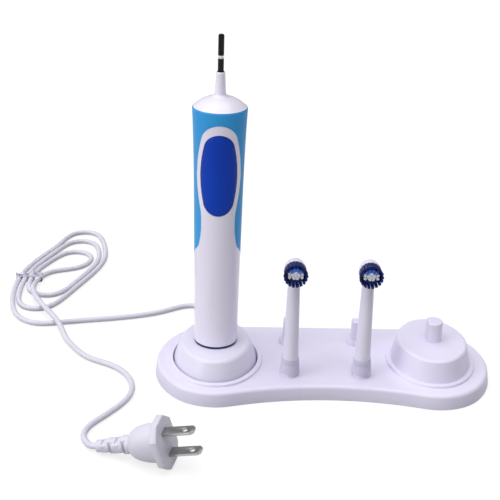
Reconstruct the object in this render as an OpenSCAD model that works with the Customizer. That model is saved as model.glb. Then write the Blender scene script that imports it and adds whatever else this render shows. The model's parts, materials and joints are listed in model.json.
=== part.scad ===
// Electric toothbrush standing on its charger, in a moulded stand that also
// carries two spare brush heads and a dummy dock for a second handle.
// Millimetres. X runs along the stand, from the charger (-X) to the dummy dock (+X).
// -Y is the front, where the button and the bristles face. Z is up, from the table.

/* [Stand] */
// Distance from the stand's middle to the centre of each dock
dock_offset = 63; // [60:0.5:68]
// Reach of the flat deck beyond a dock's centre, along X
deck_reach = 31.6; // [30.5:0.1:33]
// Half of the flat deck's depth, along Y
deck_half = 38.4; // [37.4:0.1:40]
// Radius of the deck's four plan corners
deck_corner_r = 28; // [26:0.5:29]
// Distance from the middle line to the front edge at the waist
waist_y = 29.2; // [28.4:0.1:30.4]
// Height of the deck above the table
deck_z = 8.6; // [8.2:0.1:9.6]
// Thickness of the deck
deck_t = 2; // [1.6:0.1:2.2]
// Radius of the deck's rounded edge
edge_r = 2.2; // [1.8:0.1:2.6]
// Reach of the skirt's foot beyond the flat deck
skirt_flare = 3.1; // [2.8:0.1:3.6]
// Thickness of the skirt below the rounded edge
skirt_t = 2; // [1.6:0.1:2.4]
// Clearance between the cord's strain relief and its notch at the back of the skirt
notch_gap = 0.25; // [0.2:0.05:0.4]

/* [Dock rims] */
// Width of the raised rim around each dock
rim_w = 2.6; // [2:0.1:3]
// Height of the raised rim above the deck
rim_h = 1.6; // [1.2:0.1:2]
// Gap between the charger and the edge of its hole, side to side
hole_gap_x = 0.85; // [0.5:0.05:1.1]
// Gap between the charger and the edge of its hole, front to back
hole_gap_y = 1.3; // [1:0.05:1.6]
// Width of each snap tab that hangs from the hole's edge
tab_w = 18; // [14:0.5:20]
// Thickness of a snap tab
tab_t = 1.6; // [1.2:0.1:2]
// Reach of a snap tab's bead under the charger
bead_reach = 1.7; // [1.4:0.1:2.2]
// Height of a snap tab's foot above the table
tab_foot_z = 0.6; // [0.3:0.1:1]
// Height of a snap tab's bead
bead_h = 1.4; // [1:0.1:1.6]

/* [Dummy dock] */
// Half-width of the dummy dock at its rim, along X
dome_a = 23.1; // [22:0.1:24]
// Half-depth of the dummy dock at its rim, along Y
dome_b = 29.6; // [28.6:0.1:30.6]
// Radius of the dummy dock's front and back ends
dome_end_r = 18.6; // [17.6:0.1:19.6]
// Height of the dummy dock's top above the table
dome_z = 22.8; // [21:0.1:24]
// How far the dummy dock's side leans in from rim to top
dome_lean = 3; // [2.6:0.1:3.6]
// Radius of the dummy dock's upper edge
dome_edge_r = 1.8; // [1.2:0.1:2.2]
// Wall thickness of the dummy dock
dome_wall = 2; // [1.6:0.1:2.4]

/* [Dock post] */
// Radius of the posts on the charger and the dummy dock
post_r = 5.4; // [5.3:0.1:5.6]
// Distance from a post's axis to its flat side
post_flat = 3.3; // [3.2:0.1:3.8]
// Height of a post
post_h = 12.2; // [11.6:0.1:12.8]

/* [Brush head pegs] */
// Distance of the pegs from the stand's middle, along X
peg_x = 20.5; // [19:0.5:22]
// Distance of the front pegs from the middle line
peg_front = 17.8; // [16.8:0.1:18.4]
// Distance of the back pegs from the middle line
peg_back = 20.2; // [18:0.1:22]
// Height of a peg above the deck
peg_h = 15.5; // [14:0.1:16.4]
// Radius of a peg where it leaves its collar
peg_r = 3.6; // [3.4:0.05:3.8]
// How much thinner a peg's tip is than its foot, on the radius
peg_taper = 0.25; // [0.1:0.05:0.5]
// Distance from a peg's axis to its flat side
peg_flat = 2.2; // [2:0.1:2.6]
// Radius of the conical collar at a peg's foot
collar_r = 4.7; // [4.5:0.1:5.2]
// Height of the conical collar at a peg's foot
collar_h = 3.4; // [3:0.1:4]

/* [Charger] */
// Half-width of the charger, along X
charger_a = 23.9; // [23.4:0.1:24.4]
// Half-depth of the charger, along Y
charger_b = 30.4; // [29.8:0.1:30.8]
// Radius of the charger's front and back ends
charger_end_r = 19.4; // [18.4:0.1:20]
// Height of the charger's top above the table
charger_z = 20.8; // [20.2:0.1:22]
// How far the charger's side leans in above the stand
charger_lean = 3.9; // [3.4:0.1:4.4]
// Radius of the charger's shoulder
charger_edge_r = 2.6; // [2:0.1:3]
// Wall thickness of the charger housing
charger_wall = 1.8; // [1.5:0.1:2]
// Thickness of the charger's base plate
base_plate_t = 1.6; // [1.2:0.1:1.8]
// Radius of the charging coil's flanges
coil_r = 9; // [8:0.1:9.4]
// Thickness of the coil former's walls
former_t = 0.9; // [0.7:0.1:1]
// Radius of the ferrite rod
ferrite_r = 2.2; // [2:0.1:2.3]
// Thickness of the charger's circuit board
charger_pcb_t = 1.2; // [1:0.1:1.6]

/* [Handle] */
// Height of the handle from its base to its shoulder
handle_h = 139.5; // [138:0.5:143]
// Radius of the handle at its base
handle_base_r = 12.35; // [12.2:0.05:12.8]
// How much the handle widens evenly along its height
handle_widen = 1.3; // [1.1:0.1:1.6]
// How much the handle flares more towards its shoulder
handle_flare = 1.15; // [1:0.05:1.4]
// Radius of the bore that holds the works
bore_r = 10.95; // [10.85:0.05:11.05]
// Depth of the soft grip in the shell
grip_t = 0.8; // [0.6:0.05:1]
// Height of the grip's lowest point above the handle's base, at the back
grip_low = 41.4; // [38:0.2:46]
// Height of the grip's side points above the handle's base
grip_side = 54.4; // [50:0.2:58]
// Thickness of the dark base cap's visible ring
base_ring_t = 1.2; // [0.8:0.1:1.4]
// Clearance between the charging post and its pocket
post_gap = 0.3; // [0.25:0.05:0.35]
// Height of the domed nose above the shoulder
nose_h = 6; // [5:0.1:7]
// Length of the neck above the domed nose
neck_h = 12.7; // [12:0.1:14]
// Radius of the neck at its top
neck_top_r = 2.3; // [2.2:0.05:2.6]
// Radius of the neck where it meets the nose
neck_foot_r = 2.95; // [2.8:0.05:3.4]

/* [Button] */
// Drop from the handle's shoulder to the button's centre
button_drop = 34.7; // [33.5:0.1:36.5]
// Height of the button
button_h = 45.6; // [42:0.2:47]
// Width of the button
button_w = 19.2; // [18:0.2:20]
// Clearance around the button
button_gap = 0.25; // [0.2:0.05:0.4]
// Travel of the button when it is pressed
button_travel = 0.6; // [0.4:0.1:0.7]
// Half-width of the white frame around the button
frame_half_w = 11.7; // [11.2:0.1:12.2]
// Height of the white frame around the button
frame_h = 54.6; // [53:0.2:57]

/* [Drive] */
// Radius of the battery
battery_r = 7.1; // [6.9:0.05:7.2]
// Length of the battery
battery_h = 48; // [46:0.5:48.5]
// Radius of the motor can
motor_r = 7.6; // [7.2:0.1:7.8]
// Distance from the motor's axis to its flat sides
motor_flat = 5.9; // [5.6:0.1:6]
// Length of the motor can
motor_h = 25; // [23:0.5:25.5]
// Wall thickness of the motor can
motor_wall = 0.6; // [0.5:0.05:0.7]
// Radius of the motor's shaft
rotor_r = 0.75; // [0.7:0.05:0.85]
// Teeth on the motor's pinion
pinion_teeth = 8; // [8:4:8]
// Teeth on the crank gear
crank_teeth = 16; // [16:8:16]
// Gear module
gear_module = 0.4; // [0.4:0.005:0.41]
// Width of the gears' faces
gear_w = 3; // [2.6:0.1:3.2]
// Throw of the crank pin
crank_throw = 1.65; // [1.5:0.05:1.75]
// Radius of the crank pin
crank_pin_r = 0.6; // [0.5:0.05:0.65]
// Radius of the drive shaft where a brush head slides on
shaft_r = 1.6; // [1.55:0.01:1.62]
// How much thicker the drive shaft is inside the handle, on the radius
shaft_step = 0.18; // [0.16:0.01:0.2]
// Length of the drive shaft above the neck
shaft_out = 19.7; // [19:0.1:21]
// Running clearance of the shafts, on the radius
run_gap = 0.05; // [0.03:0.01:0.08]
// Half of the angle that the drive shaft swings through
swing = 22.5; // [20:0.5:24]

/* [Brush heads] */
// Height of a brush head's foot above the deck
head_lift = 2; // [1.8:0.1:2.6]
// Height of the collar ring at a brush head's foot
ring_h = 9.2; // [8:0.1:10]
// Radius of the collar ring's foot
ring_r = 5.7; // [5.5:0.1:6.2]
// Radius of the tube above the collar ring
tube_r = 4.6; // [4.45:0.05:4.9]
// Radius of the tube below the neck
tube_top_r = 3.5; // [3.4:0.05:3.8]
// Radius of the tube where it meets the brush disc
tube_end_r = 2.7; // [2.6:0.05:3]
// Height of the tube's shoulder above the head's foot
tube_h = 51.4; // [50:0.2:54]
// Height of the brush disc's centre above the head's foot
disc_z = 64.6; // [64:0.1:66]
// Radius of the brush disc
disc_r = 6.3; // [6:0.1:6.6]
// Thickness of the brush disc
disc_t = 2.2; // [2:0.1:2.6]
// Length of the bristles
bristle_l = 7; // [6:0.1:8]
// Radius of a bristle tuft
tuft_r = 0.72; // [0.6:0.01:0.78]

/* [Plug] */
// Height of the plug's flange
flange_h = 27; // [25:0.5:29]
// Width of the plug's flange
flange_w = 22; // [20:0.5:24]
// Thickness of the plug's flange
flange_t = 4; // [3:0.1:5]
// Length of the plug's bulb behind the flange
bulb_l = 16; // [14:0.5:18]
// Length of the plug's ribbed strain relief
relief_l = 20; // [18:0.5:22]
// Distance between the two blades
blade_pitch = 12.7; // [12.5:0.05:12.9]
// Width of a blade
blade_w = 6.3; // [6.1:0.05:6.5]
// Thickness of a blade
blade_t = 1.5; // [1.4:0.02:1.6]
// Length of a blade beyond the flange
blade_l = 17; // [15:0.2:18]

/* [Cord] */
// Diameter of the cord
cord_d = 3.4; // [3.2:0.1:3.5]
// Length of the cord's strain relief behind the charger
gland_l = 20; // [20:0.5:24]
// Radius of the strain relief where it leaves the charger
gland_r = 2.25; // [2.1:0.05:2.3]
// Height of the hank as it lies
hank_h = 7.4; // [7.3:0.1:7.8]

/* [Hidden] */

$fn = 48;
// Overlap that joins two solids of one piece, and that carries a cut past a face
eps = 0.5;
// Clearance of pieces that are pressed or slid together for good
fit_gap = 0.08;
// Seat clearance of pieces that lift off
seat_gap = 0.3;

stand_white = "#E6E2F3";
charger_white = "#ECEAF5";
grip_blue = "#2F93C9";
button_blue = "#12379C";
navy = "#16205C";
steel = "#8D9096";
copper = "#B5713A";

// ---- Outlines of tangent arcs, and solids lofted through them ----

// Points along an arc, without its last one
function arc(centre, r, from, to, steps) = [for (i = [0:steps - 1])
    let (turn = from + (to - from) * i / steps) centre + r * [cos(turn), sin(turn)]];

// An oval of four arcs is s = [half-width a, half-depth b, end radius e].
// Radius of its two side arcs, which meet the end arcs tangentially
function side_r(s) = (s.x * s.x + (s.y - s.z) * (s.y - s.z) - s.z * s.z) / (2 * (s.x - s.z));
// Half of the angle that a side arc spans
function side_angle(s) = atan2(s.y - s.z, side_r(s) - s.x);
// The same oval, g larger all round
function grow(s, g) = s + [g, g, g];
function oval_points(s, g = 0) = let (r = side_r(s), half = side_angle(s)) concat(
    arc([s.x - r, 0], r + g, -half, half, 10),
    arc([0, s.y - s.z], s.z + g, half, 180 - half, 12),
    arc([r - s.x, 0], r + g, 180 - half, 180 + half, 10),
    arc([0, s.z - s.y], s.z + g, 180 + half, 360 - half, 12));

// A rounded edge as levels of [grow, height]: the side leans in from z0 and ends in it
function edge_levels(z0, z1, lean, edge) =
    let (h = z1 - z0, slope_l = sqrt(h * h + lean * lean), start = atan2(lean, h),
        edge_x = -(edge * slope_l + lean * (h - edge)) / h)
    [for (i = [0:4]) let (turn = start + (90 - start) * i / 4)
        [edge_x + edge * cos(turn), z1 - edge + edge * sin(turn)]];

// The solid through rings that all have as many points, from the lowest up. caps lists
// the convex pieces of its flat ends, each counterclockwise from above
module loft(rings, caps) {
    n = len(rings[0]);
    last = len(rings) - 1;
    walls = [for (i = [0:last - 1]) for (k = [0:n - 1])
        [i * n + k, (i + 1) * n + k, (i + 1) * n + (k + 1) % n, i * n + (k + 1) % n]];
    heads = [for (cap = caps) [for (k = [len(cap) - 1:-1:0]) last * n + cap[k]]];
    polyhedron(points = [for (ring = rings) each ring], faces = concat(caps, walls, heads));
}

module oval_loft(s, levels) {
    loft([for (level = levels) [for (p = oval_points(s, level.x)) [p.x, p.y, level.y]]],
        [[for (k = [0:len(oval_points(s)) - 1]) k]]);
}

// An oval solid whose side leans in from z0 to z1 and ends in a rounded edge
module leaning_oval(s, z0, z1, lean, edge) {
    oval_loft(s, concat([[0, z0]], edge_levels(z0, z1, lean, edge)));
}

module oval_prism(s, z0, z1, g = 0) {
    translate([0, 0, z0]) linear_extrude(z1 - z0) polygon(oval_points(s, g));
}

// A round post with one flat side, facing -X
module d_post(r, flat, h) {
    intersection() {
        cylinder(r = r, h = h);
        translate([-flat, -2 * r, -h]) cube([4 * r, 4 * r, 3 * h]);
    }
}

module ring(r_out, r_in, h) {
    difference() {
        cylinder(r = r_out, h = h);
        translate([0, 0, -eps]) cylinder(r = r_in, h = h + 2 * eps);
    }
}

// ---- Stand ----

deck_end = [deck_reach, deck_half, deck_corner_r];
charger_oval = [charger_a, charger_b, charger_end_r];
hole_oval = [charger_a + hole_gap_x, charger_b + hole_gap_y, charger_end_r + hole_gap_x];
dome_oval = [dome_a, dome_b, dome_end_r];
rim_z = deck_z + rim_h;
corner_y = deck_half - deck_corner_r;
// Radius of the concave front edge, tangent to the two front corners
waist_drop = waist_y - corner_y;
waist_r = (dock_offset * dock_offset + waist_drop * waist_drop
    - deck_corner_r * deck_corner_r) / (2 * (deck_corner_r - waist_drop));
waist_angle = atan2(dock_offset, waist_r + waist_drop);
cavity_grow = edge_r - skirt_t;
peg_places = [for (x = [-peg_x, peg_x]) for (y = [-peg_front, peg_back]) [x, y, deck_z]];

// The stand's outline: oval ends, a straight back and a concave front. It starts where
// the right front corner leaves the concave edge, and both long edges have as many steps
long_steps = 16;
end_steps = 38;
function stand_end(g) =
    let (r = side_r(deck_end), half = side_angle(deck_end), c = deck_corner_r + g)
    concat(arc([dock_offset, -corner_y], c, -90 - waist_angle, -half, 14),
        arc([dock_offset + deck_reach - r, 0], r + g, -half, half, 12),
        arc([dock_offset, corner_y], c, half, 90, end_steps - 26),
        [[dock_offset, corner_y + c]]);
function stand_points(g) = let (end = stand_end(g), back = end[end_steps].y) concat(end,
    [for (i = [1:long_steps - 1]) [dock_offset * (1 - 2 * i / long_steps), back]],
    [for (i = [end_steps:-1:0]) [-end[i].x, end[i].y]],
    [for (i = [1:long_steps - 1]) let (turn = 90 + waist_angle * (1 - 2 * i / long_steps))
        [0, -waist_y - waist_r] + (waist_r - g) * [cos(turn), sin(turn)]]);
// Both ends, and the strips between the concave front and the straight back
stand_n = 2 * (end_steps + long_steps);
stand_caps = concat([[for (k = [0:end_steps]) k],
    [for (k = [end_steps + long_steps:2 * end_steps + long_steps]) k]],
    [for (i = [0:long_steps - 1])
        [(stand_n - i) % stand_n, end_steps + i, end_steps + i + 1, stand_n - i - 1]]);

module stand_body() {
    edge_z = deck_z - edge_r;
    levels = concat([[skirt_flare, 0], [edge_r, edge_z]], [for (i = [1:4])
        [edge_r * cos(22.5 * i), edge_z + edge_r * sin(22.5 * i)]]);
    loft([for (level = levels) [for (p = stand_points(level.x)) [p.x, p.y, level.y]]],
        stand_caps);
}

module rim(s) {
    bevel = rim_h / 3;
    oval_loft(s, [[rim_w, deck_z - eps], [rim_w, rim_z - 2 * bevel],
        [rim_w - bevel / 2, rim_z - bevel / 2], [rim_w - 2 * bevel, rim_z]]);
}

module peg() {
    cone_foot = peg_r + (collar_r - peg_r) * (collar_h + eps) / collar_h;
    d_post(peg_r, peg_flat, collar_h);
    translate([0, 0, collar_h - eps]) intersection() {
        cylinder(r1 = peg_r, r2 = peg_r - peg_taper, h = peg_h - collar_h + eps);
        translate([-peg_flat, -2 * peg_r, -eps]) cube([4 * peg_r, 4 * peg_r, 2 * peg_h]);
    }
    translate([0, 0, -eps]) cylinder(r1 = cone_foot, r2 = peg_r, h = collar_h + eps);
}

// One tab hangs from each long side of the hole, with a bead that carries the charger
module snap_tabs() {
    intersection() {
        difference() {
            oval_prism(hole_oval, tab_foot_z, deck_z - deck_t + eps, tab_t);
            oval_prism(hole_oval, tab_foot_z + bead_h, deck_z);
            oval_prism(hole_oval, 0, deck_z, -bead_reach);
        }
        translate([-2 * hole_oval.x, -tab_w / 2, 0]) cube([4 * hole_oval.x, tab_w, deck_z]);
    }
}

module stand_tray() color(stand_white) {
    inside = grow(dome_oval, -dome_wall);
    difference() {
        union() {
            stand_body();
            translate([-dock_offset, 0, 0]) rim(hole_oval);
            translate([dock_offset, 0, 0]) {
                rim(dome_oval);
                leaning_oval(dome_oval, deck_z - eps, dome_z, dome_lean, dome_edge_r);
                translate([0, 0, dome_z - eps]) d_post(post_r, post_flat, post_h + eps);
            }
            for (place = peg_places) translate(place) peg();
        }
        translate([0, 0, -eps]) linear_extrude(deck_z - deck_t + eps)
            polygon(stand_points(cavity_grow));
        translate([-dock_offset, 0, 0]) oval_prism(hole_oval, 0, rim_z + eps);
        translate([dock_offset, 0, 0]) {
            oval_prism(inside, -eps, deck_z);
            leaning_oval(inside, deck_z - eps, dome_z - dome_wall, dome_lean, dome_wall / 2);
        }
        translate([-dock_offset - notch_r, deck_half - eps, -eps])
            cube([2 * notch_r, 2 * skirt_flare + eps, gland_z + notch_r + eps]);
    }
    translate([-dock_offset, 0, 0]) snap_tabs();
}

// ---- Charger ----

charger_foot_z = tab_foot_z + bead_h;
plate_top_z = charger_foot_z + base_plate_t;
charger_room = grow(charger_oval, -charger_wall);
gland_z = deck_z - deck_t - gland_r - 0.35;
gland_end_r = cord_d / 2 + 0.2;
gland_flange_r = gland_r + 0.2;
// Radius of the strain relief where it passes the skirt
notch_r = gland_r - (gland_r - gland_end_r) * (deck_half - charger_b) / gland_l + notch_gap;
post_bore_r = ferrite_r + 0.4;
former_top_z = charger_z - charger_wall - 0.3;
pcb_lift = 2.4;
pcb_size = [19, 12.6, charger_pcb_t];
pcb_place = [-pcb_size.x / 2, coil_r + 1.4, plate_top_z + pcb_lift];
pcb_top_z = pcb_place.z + charger_pcb_t;

module at_charger() {
    translate([-dock_offset, 0, 0]) children();
}

module charger_housing() color(charger_white) at_charger() difference() {
    union() {
        oval_prism(charger_oval, charger_foot_z, rim_z);
        leaning_oval(charger_oval, rim_z, charger_z, charger_lean, charger_edge_r);
        translate([0, 0, charger_z - eps]) d_post(post_r, post_flat, post_h + eps);
    }
    oval_prism(charger_room, charger_foot_z - eps, rim_z);
    leaning_oval(charger_room, rim_z - eps, charger_z - charger_wall, charger_lean,
        charger_edge_r - charger_wall / 2);
    cylinder(r = post_bore_r, h = charger_z + post_h - 1.2);
    translate([0, 0, gland_z]) rotate([-90, 0, 0])
        cylinder(r = gland_r + fit_gap, h = 2 * charger_b);
}

module charger_base_plate() color(charger_white) at_charger() {
    difference() {
        oval_prism(charger_room, charger_foot_z, plate_top_z, -fit_gap);
        translate([-gland_flange_r - seat_gap, charger_b - charger_wall - 2, 0])
            cube([2 * (gland_flange_r + seat_gap), charger_wall + 2, charger_z]);
    }
    for (x = [-6, 6]) for (y = [3, pcb_size.y - 3])
        translate([x, pcb_place.y + y, plate_top_z - eps])
            cylinder(r = 1.5, h = pcb_lift + eps);
}

module coil_former() color("#D8D2C2") at_charger() difference() {
    union() {
        for (z = [plate_top_z, former_top_z - former_t])
            translate([0, 0, z]) cylinder(r = coil_r, h = former_t);
        translate([0, 0, plate_top_z])
            cylinder(r = ferrite_r + fit_gap + former_t, h = former_top_z - plate_top_z);
    }
    cylinder(r = ferrite_r + fit_gap, h = charger_z);
}

module primary_coil() color(copper) at_charger()
    translate([0, 0, plate_top_z + former_t + fit_gap])
        ring(coil_r - 0.8, ferrite_r + former_t + 2 * fit_gap,
            former_top_z - plate_top_z - 2 * former_t - 2 * fit_gap);

module ferrite_rod() color("#3A3A3E") at_charger() translate([0, 0, plate_top_z])
    cylinder(r = ferrite_r, h = charger_z + post_h - 1.6 - plate_top_z);

module charger_pcb() color("#2F6B45") at_charger() translate(pcb_place) cube(pcb_size);

// Mains capacitor, bridge rectifier, fuse and resistor, standing on the board
module charger_components() color("#3B4A6B") at_charger()
    translate([0, pcb_place.y, pcb_top_z]) {
        translate([-4.8, 4, 0]) cylinder(r = 2.9, h = 7);
        translate([0.6, 1.6, 0]) cube([6, 5, 2.4]);
        translate([-4, 8.4, 0]) cube([3, 2.6, 4]);
        translate([2.6, 9.4, 0]) cylinder(r = 1.3, h = 5);
    }

// Moulded strain relief in the back wall, tapered outside, with a flange on the inside
module cord_gland() color("#DDD9EA") at_charger() translate([0, charger_b, gland_z])
    rotate([-90, 0, 0]) {
        translate([0, 0, -charger_wall - 1.4]) cylinder(r = gland_r, h = charger_wall + 1.4);
        translate([0, 0, -charger_wall - 1.4]) cylinder(r = gland_flange_r, h = 1.2);
        translate([0, 0, -eps]) cylinder(r1 = gland_r, r2 = gland_end_r, h = gland_l + eps);
    }

// ---- Cord ----

// Each tube runs through these points, chosen by hand. The lead leaves the gland, passes
// the notch in the skirt and bends round behind the handle to the hank. The tail goes
// from the hank round to the plug.
cord_z = 1.75;
gland_end = [-dock_offset, charger_b + gland_l, gland_z];
lead_route = concat([gland_end], [[-63, 54, 3.8], [-63, 58, 3], [-63, 62, 2.2],
    [-63.2, 66, cord_z], [-64.6, 71.4, cord_z], [-68.2, 76.4, cord_z],
    [-73.4, 79.8, cord_z], [-79.6, 80.8, cord_z], [-85.6, 79, cord_z],
    [-91.4, 75, cord_z], [-98, 70.8, cord_z], [-106, 67.2, cord_z], [-114, 64.6, cord_z],
    [-122, 62.4, cord_z], [-130, 60.4, cord_z], [-138, 59, cord_z], [-146, 57.4, cord_z],
    [-153, 55.8, cord_z], [-160, 54.2, cord_z], [-167.4, 52.4, cord_z], [-175, 52, cord_z]]);

// Three circles that the hank's outline runs round, as [place, radius]
hank_circles = [[[-178.6, 68], 18.4], [[-169.4, 118], 28], [[-163.6, 177], 23]];

// The plug rests on its cord and on the lowest corner of its flange
plug_tail = [-123, -86, 3.8];
plug_turn = -18;
plug_roll = 7;
flange_cut = 6;
rest_gap = 0.05;
plug_l = flange_t + bulb_l + relief_l;
corner_reach = plug_l - flange_t;
corner_drop = flange_h / 2 * cos(plug_roll) + (flange_w / 2 - flange_cut) * sin(plug_roll);
plug_tilt = atan(corner_drop / corner_reach)
    - asin((plug_tail.z - rest_gap) / norm([corner_reach, corner_drop]));
plug_axis = [cos(plug_turn) * cos(plug_tilt), sin(plug_turn) * cos(plug_tilt), sin(plug_tilt)];
plug_face = plug_tail + plug_l * plug_axis;
tail_route = concat([[-172, 68, 5.65], [-167.4, 60, 5.65], [-162, 51.6, 5.4],
    [-157.6, 42, 3.5], [-154, 32, cord_z],
    [-149, 24, cord_z], [-144, 16, cord_z], [-138, 9.4, cord_z], [-131, 5.4, cord_z],
    [-124, 1.6, cord_z], [-117.6, -4, cord_z], [-113, -11, cord_z], [-110, -19, cord_z],
    [-109.4, -27, cord_z], [-111, -35, cord_z], [-114.4, -42, cord_z],
    [-119, -49, cord_z], [-124, -56, cord_z], [-129, -62.6, cord_z],
    [-131.6, -69.2, cord_z], [-131.5, -75, 1.9], [-129.5, -80.1, 2.3]],
    [plug_tail - 4 * plug_axis, plug_tail]);

// A ring of the tube: across lies level, so that the tube does not twist
function unit(v) = v / norm(v);
function heading(route, i) = unit(route[min(i + 1, len(route) - 1)] - route[max(i - 1, 0)]);
function ring_points(route, i, r, sides) =
    let (dir = heading(route, i), across = unit(cross([0, 0, 1], dir)), up = cross(dir, across))
    [for (k = [0:sides - 1]) route[i] + r * (cos(360 * k / sides) * across
        + sin(360 * k / sides) * up)];

module cord_tube(route) {
    sides = 8;
    rings = len(route);
    points = [for (i = [0:rings - 1]) each ring_points(route, i, cord_d / 2, sides)];
    walls = [for (i = [0:rings - 2]) for (k = [0:sides - 1])
        [i * sides + k, i * sides + (k + 1) % sides, (i + 1) * sides + (k + 1) % sides,
            (i + 1) * sides + k]];
    start = [[for (k = [sides - 1:-1:0]) k]];
    finish = [[for (k = [0:sides - 1]) (rings - 1) * sides + k]];
    polyhedron(points = points, faces = concat(start, walls, finish));
}

module cord_lead() color("#E4E2EE") cord_tube(lead_route);

module cord_tail() color("#E4E2EE") cord_tube(tail_route);

// Outer shape of the wound cord: an extruded outline with round ends
module cord_hank() color("#E4E2EE") linear_extrude(hank_h) {
    for (c = hank_circles) translate(c[0]) circle(c[1]);
    for (i = [0:len(hank_circles) - 2]) {
        a = hank_circles[i];
        b = hank_circles[i + 1];
        across = unit([b[0].y - a[0].y, a[0].x - b[0].x]);
        polygon([a[0] - a[1] * across, a[0] + a[1] * across,
            b[0] + b[1] * across, b[0] - b[1] * across]);
    }
}

// ---- Plug: its own X runs along the blades, its Z across them ----

module at_plug() {
    translate(plug_face) rotate([0, -plug_tilt, plug_turn]) rotate([plug_roll, 0, 0])
        children();
}

module blade_pair(clear, start, finish) {
    for (side = [-1, 1])
        translate([start, -blade_w / 2 - clear, side * blade_pitch / 2 - blade_t / 2 - clear])
            cube([finish - start, blade_w + 2 * clear, blade_t + 2 * clear]);
}

module plug_body() color("#E4E2EE") at_plug() difference() {
    corner = flange_cut;
    across = flange_w / 2;
    up = flange_h / 2;
    union() {
        translate([-flange_t, 0, 0]) rotate([90, 0, 90]) linear_extrude(flange_t)
            polygon([[across - corner, up], [across, up - corner], [across, corner - up],
                [across - corner, -up], [corner - across, -up], [-across, corner - up],
                [-across, up - corner], [corner - across, up]]);
        hull() {
            translate([-flange_t - 2, 0, 0]) rotate([0, 90, 0])
                scale([1, 0.8, 1]) cylinder(r = up - 2.4, h = 3, $fn = 32);
            translate([-flange_t - bulb_l * 0.6, 0, 0]) rotate([0, 90, 0])
                scale([1, 0.9, 1]) cylinder(r = up - 4.4, h = 1, $fn = 32);
            translate([-flange_t - bulb_l, 0, 0]) rotate([0, 90, 0])
                cylinder(r = 5, h = 1, $fn = 32);
        }
    }
    blade_pair(fit_gap, -10, eps);
}

module plug_blades() color(steel) at_plug() difference() {
    blade_pair(0, -10 + fit_gap, blade_l);
    for (side = [-1, 1]) translate([blade_l - 5, 0, side * blade_pitch / 2])
        cylinder(r = 1.5, h = 3, center = true);
}

// Ribs on a slim core, the ribs growing towards the plug
module plug_relief() color("#E4E2EE") at_plug() translate([-plug_l, 0, 0])
    rotate([0, 90, 0]) {
        ribs = 4;
        pitch = relief_l / ribs;
        cylinder(r1 = 2.4, r2 = 3.4, h = relief_l);
        for (i = [0:ribs - 1])
            translate([0, 0, i * pitch + pitch * 0.28])
                cylinder(r1 = 3.2 + 0.4 * i, r2 = 3.4 + 0.4 * i, h = pitch * 0.62);
    }

// ---- Handle: heights below are above the handle's base ----

handle_z = charger_z;
button_z = handle_h - button_drop;
journal_r = shaft_r + shaft_step;
pocket_r = post_r + post_gap;
pocket_flat = post_flat + post_gap;
pocket_h = post_h + post_gap + 0.3;
sleeve_r = pocket_r + 1.2;
sleeve_h = pocket_h + 1.3;
cap_plug_h = 7;

function handle_r(h) = handle_base_r + handle_widen * h / handle_h
    + handle_flare * pow(h / handle_h, 5);

module at_handle() {
    translate([-dock_offset, 0, handle_z]) children();
}

// The handle's outside, inset by g, between two heights
module handle_form(h0, h1, g = 0) {
    steps = 8;
    rotate_extrude($fn = 96) polygon(concat([[0, h0]],
        [for (i = [0:steps]) let (h = h0 + (h1 - h0) * i / steps) [handle_r(h) - g, h]],
        [[0, h1]]));
}

// Front view of the white part that the grip leaves free, in [x, height]
module white_front() {
    waist_half = frame_half_w - 2.6;
    waist_low = grip_side + 21;
    side_x = handle_r(grip_side) + 0.1;
    rise = waist_low - grip_side;
    reach = side_x - waist_half;
    curve_r = (rise * rise + reach * reach) / (2 * reach);
    translate([0, button_z + 0.8])
        polygon(oval_points([frame_half_w, frame_h / 2, frame_half_w - 2]));
    difference() {
        translate([-3 * side_x, -eps]) square([6 * side_x, button_z - frame_h / 2 + 12]);
        for (side = [-1, 1]) translate([side * (waist_half + curve_r), waist_low])
            circle(curve_r);
        for (side = [-1, 1])
            translate([side * (waist_half + 4 * side_x) - 4 * side_x, waist_low])
                square([8 * side_x, handle_h]);
    }
}

// Space of the soft grip: all round near the shoulder, leaving the front white, with a
// lower edge that slants down to the back. It reaches past the handle's outside
module grip_space() {
    side_x = handle_r(grip_side);
    far = 2 * handle_h;
    difference() {
        translate([0, 0, grip_side]) rotate([-atan2(grip_side - grip_low, side_x), 0, 0])
            translate([-far / 2, -far / 2, 0]) cube(far);
        handle_form(0, handle_h + eps, grip_t);
        translate([0, -2, 0]) rotate([90, 0, 0]) linear_extrude(3 * handle_base_r)
            white_front();
    }
}

module handle_shell() color("#F1F0F7") at_handle() difference() {
    handle_form(base_ring_t, handle_h);
    translate([0, 0, -eps]) cylinder(r = bore_r, h = handle_h + 2 * eps);
    grip_space();
    rotate([90, 0, 0]) linear_extrude(2 * handle_base_r) button_outline(button_gap);
}

module grip_overmold() color(grip_blue) at_handle() intersection() {
    handle_form(base_ring_t, handle_h);
    grip_space();
}

// The nose plugs into the bore; its dome ends in the neck that the shaft leaves
nose_z = handle_h;
neck_z = nose_z + nose_h;
neck_top = neck_z + neck_h;
seat_r = bore_r - fit_gap;
bushing_r = 3.2;
bushing_h = 6;
seal_h = 2;

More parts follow.
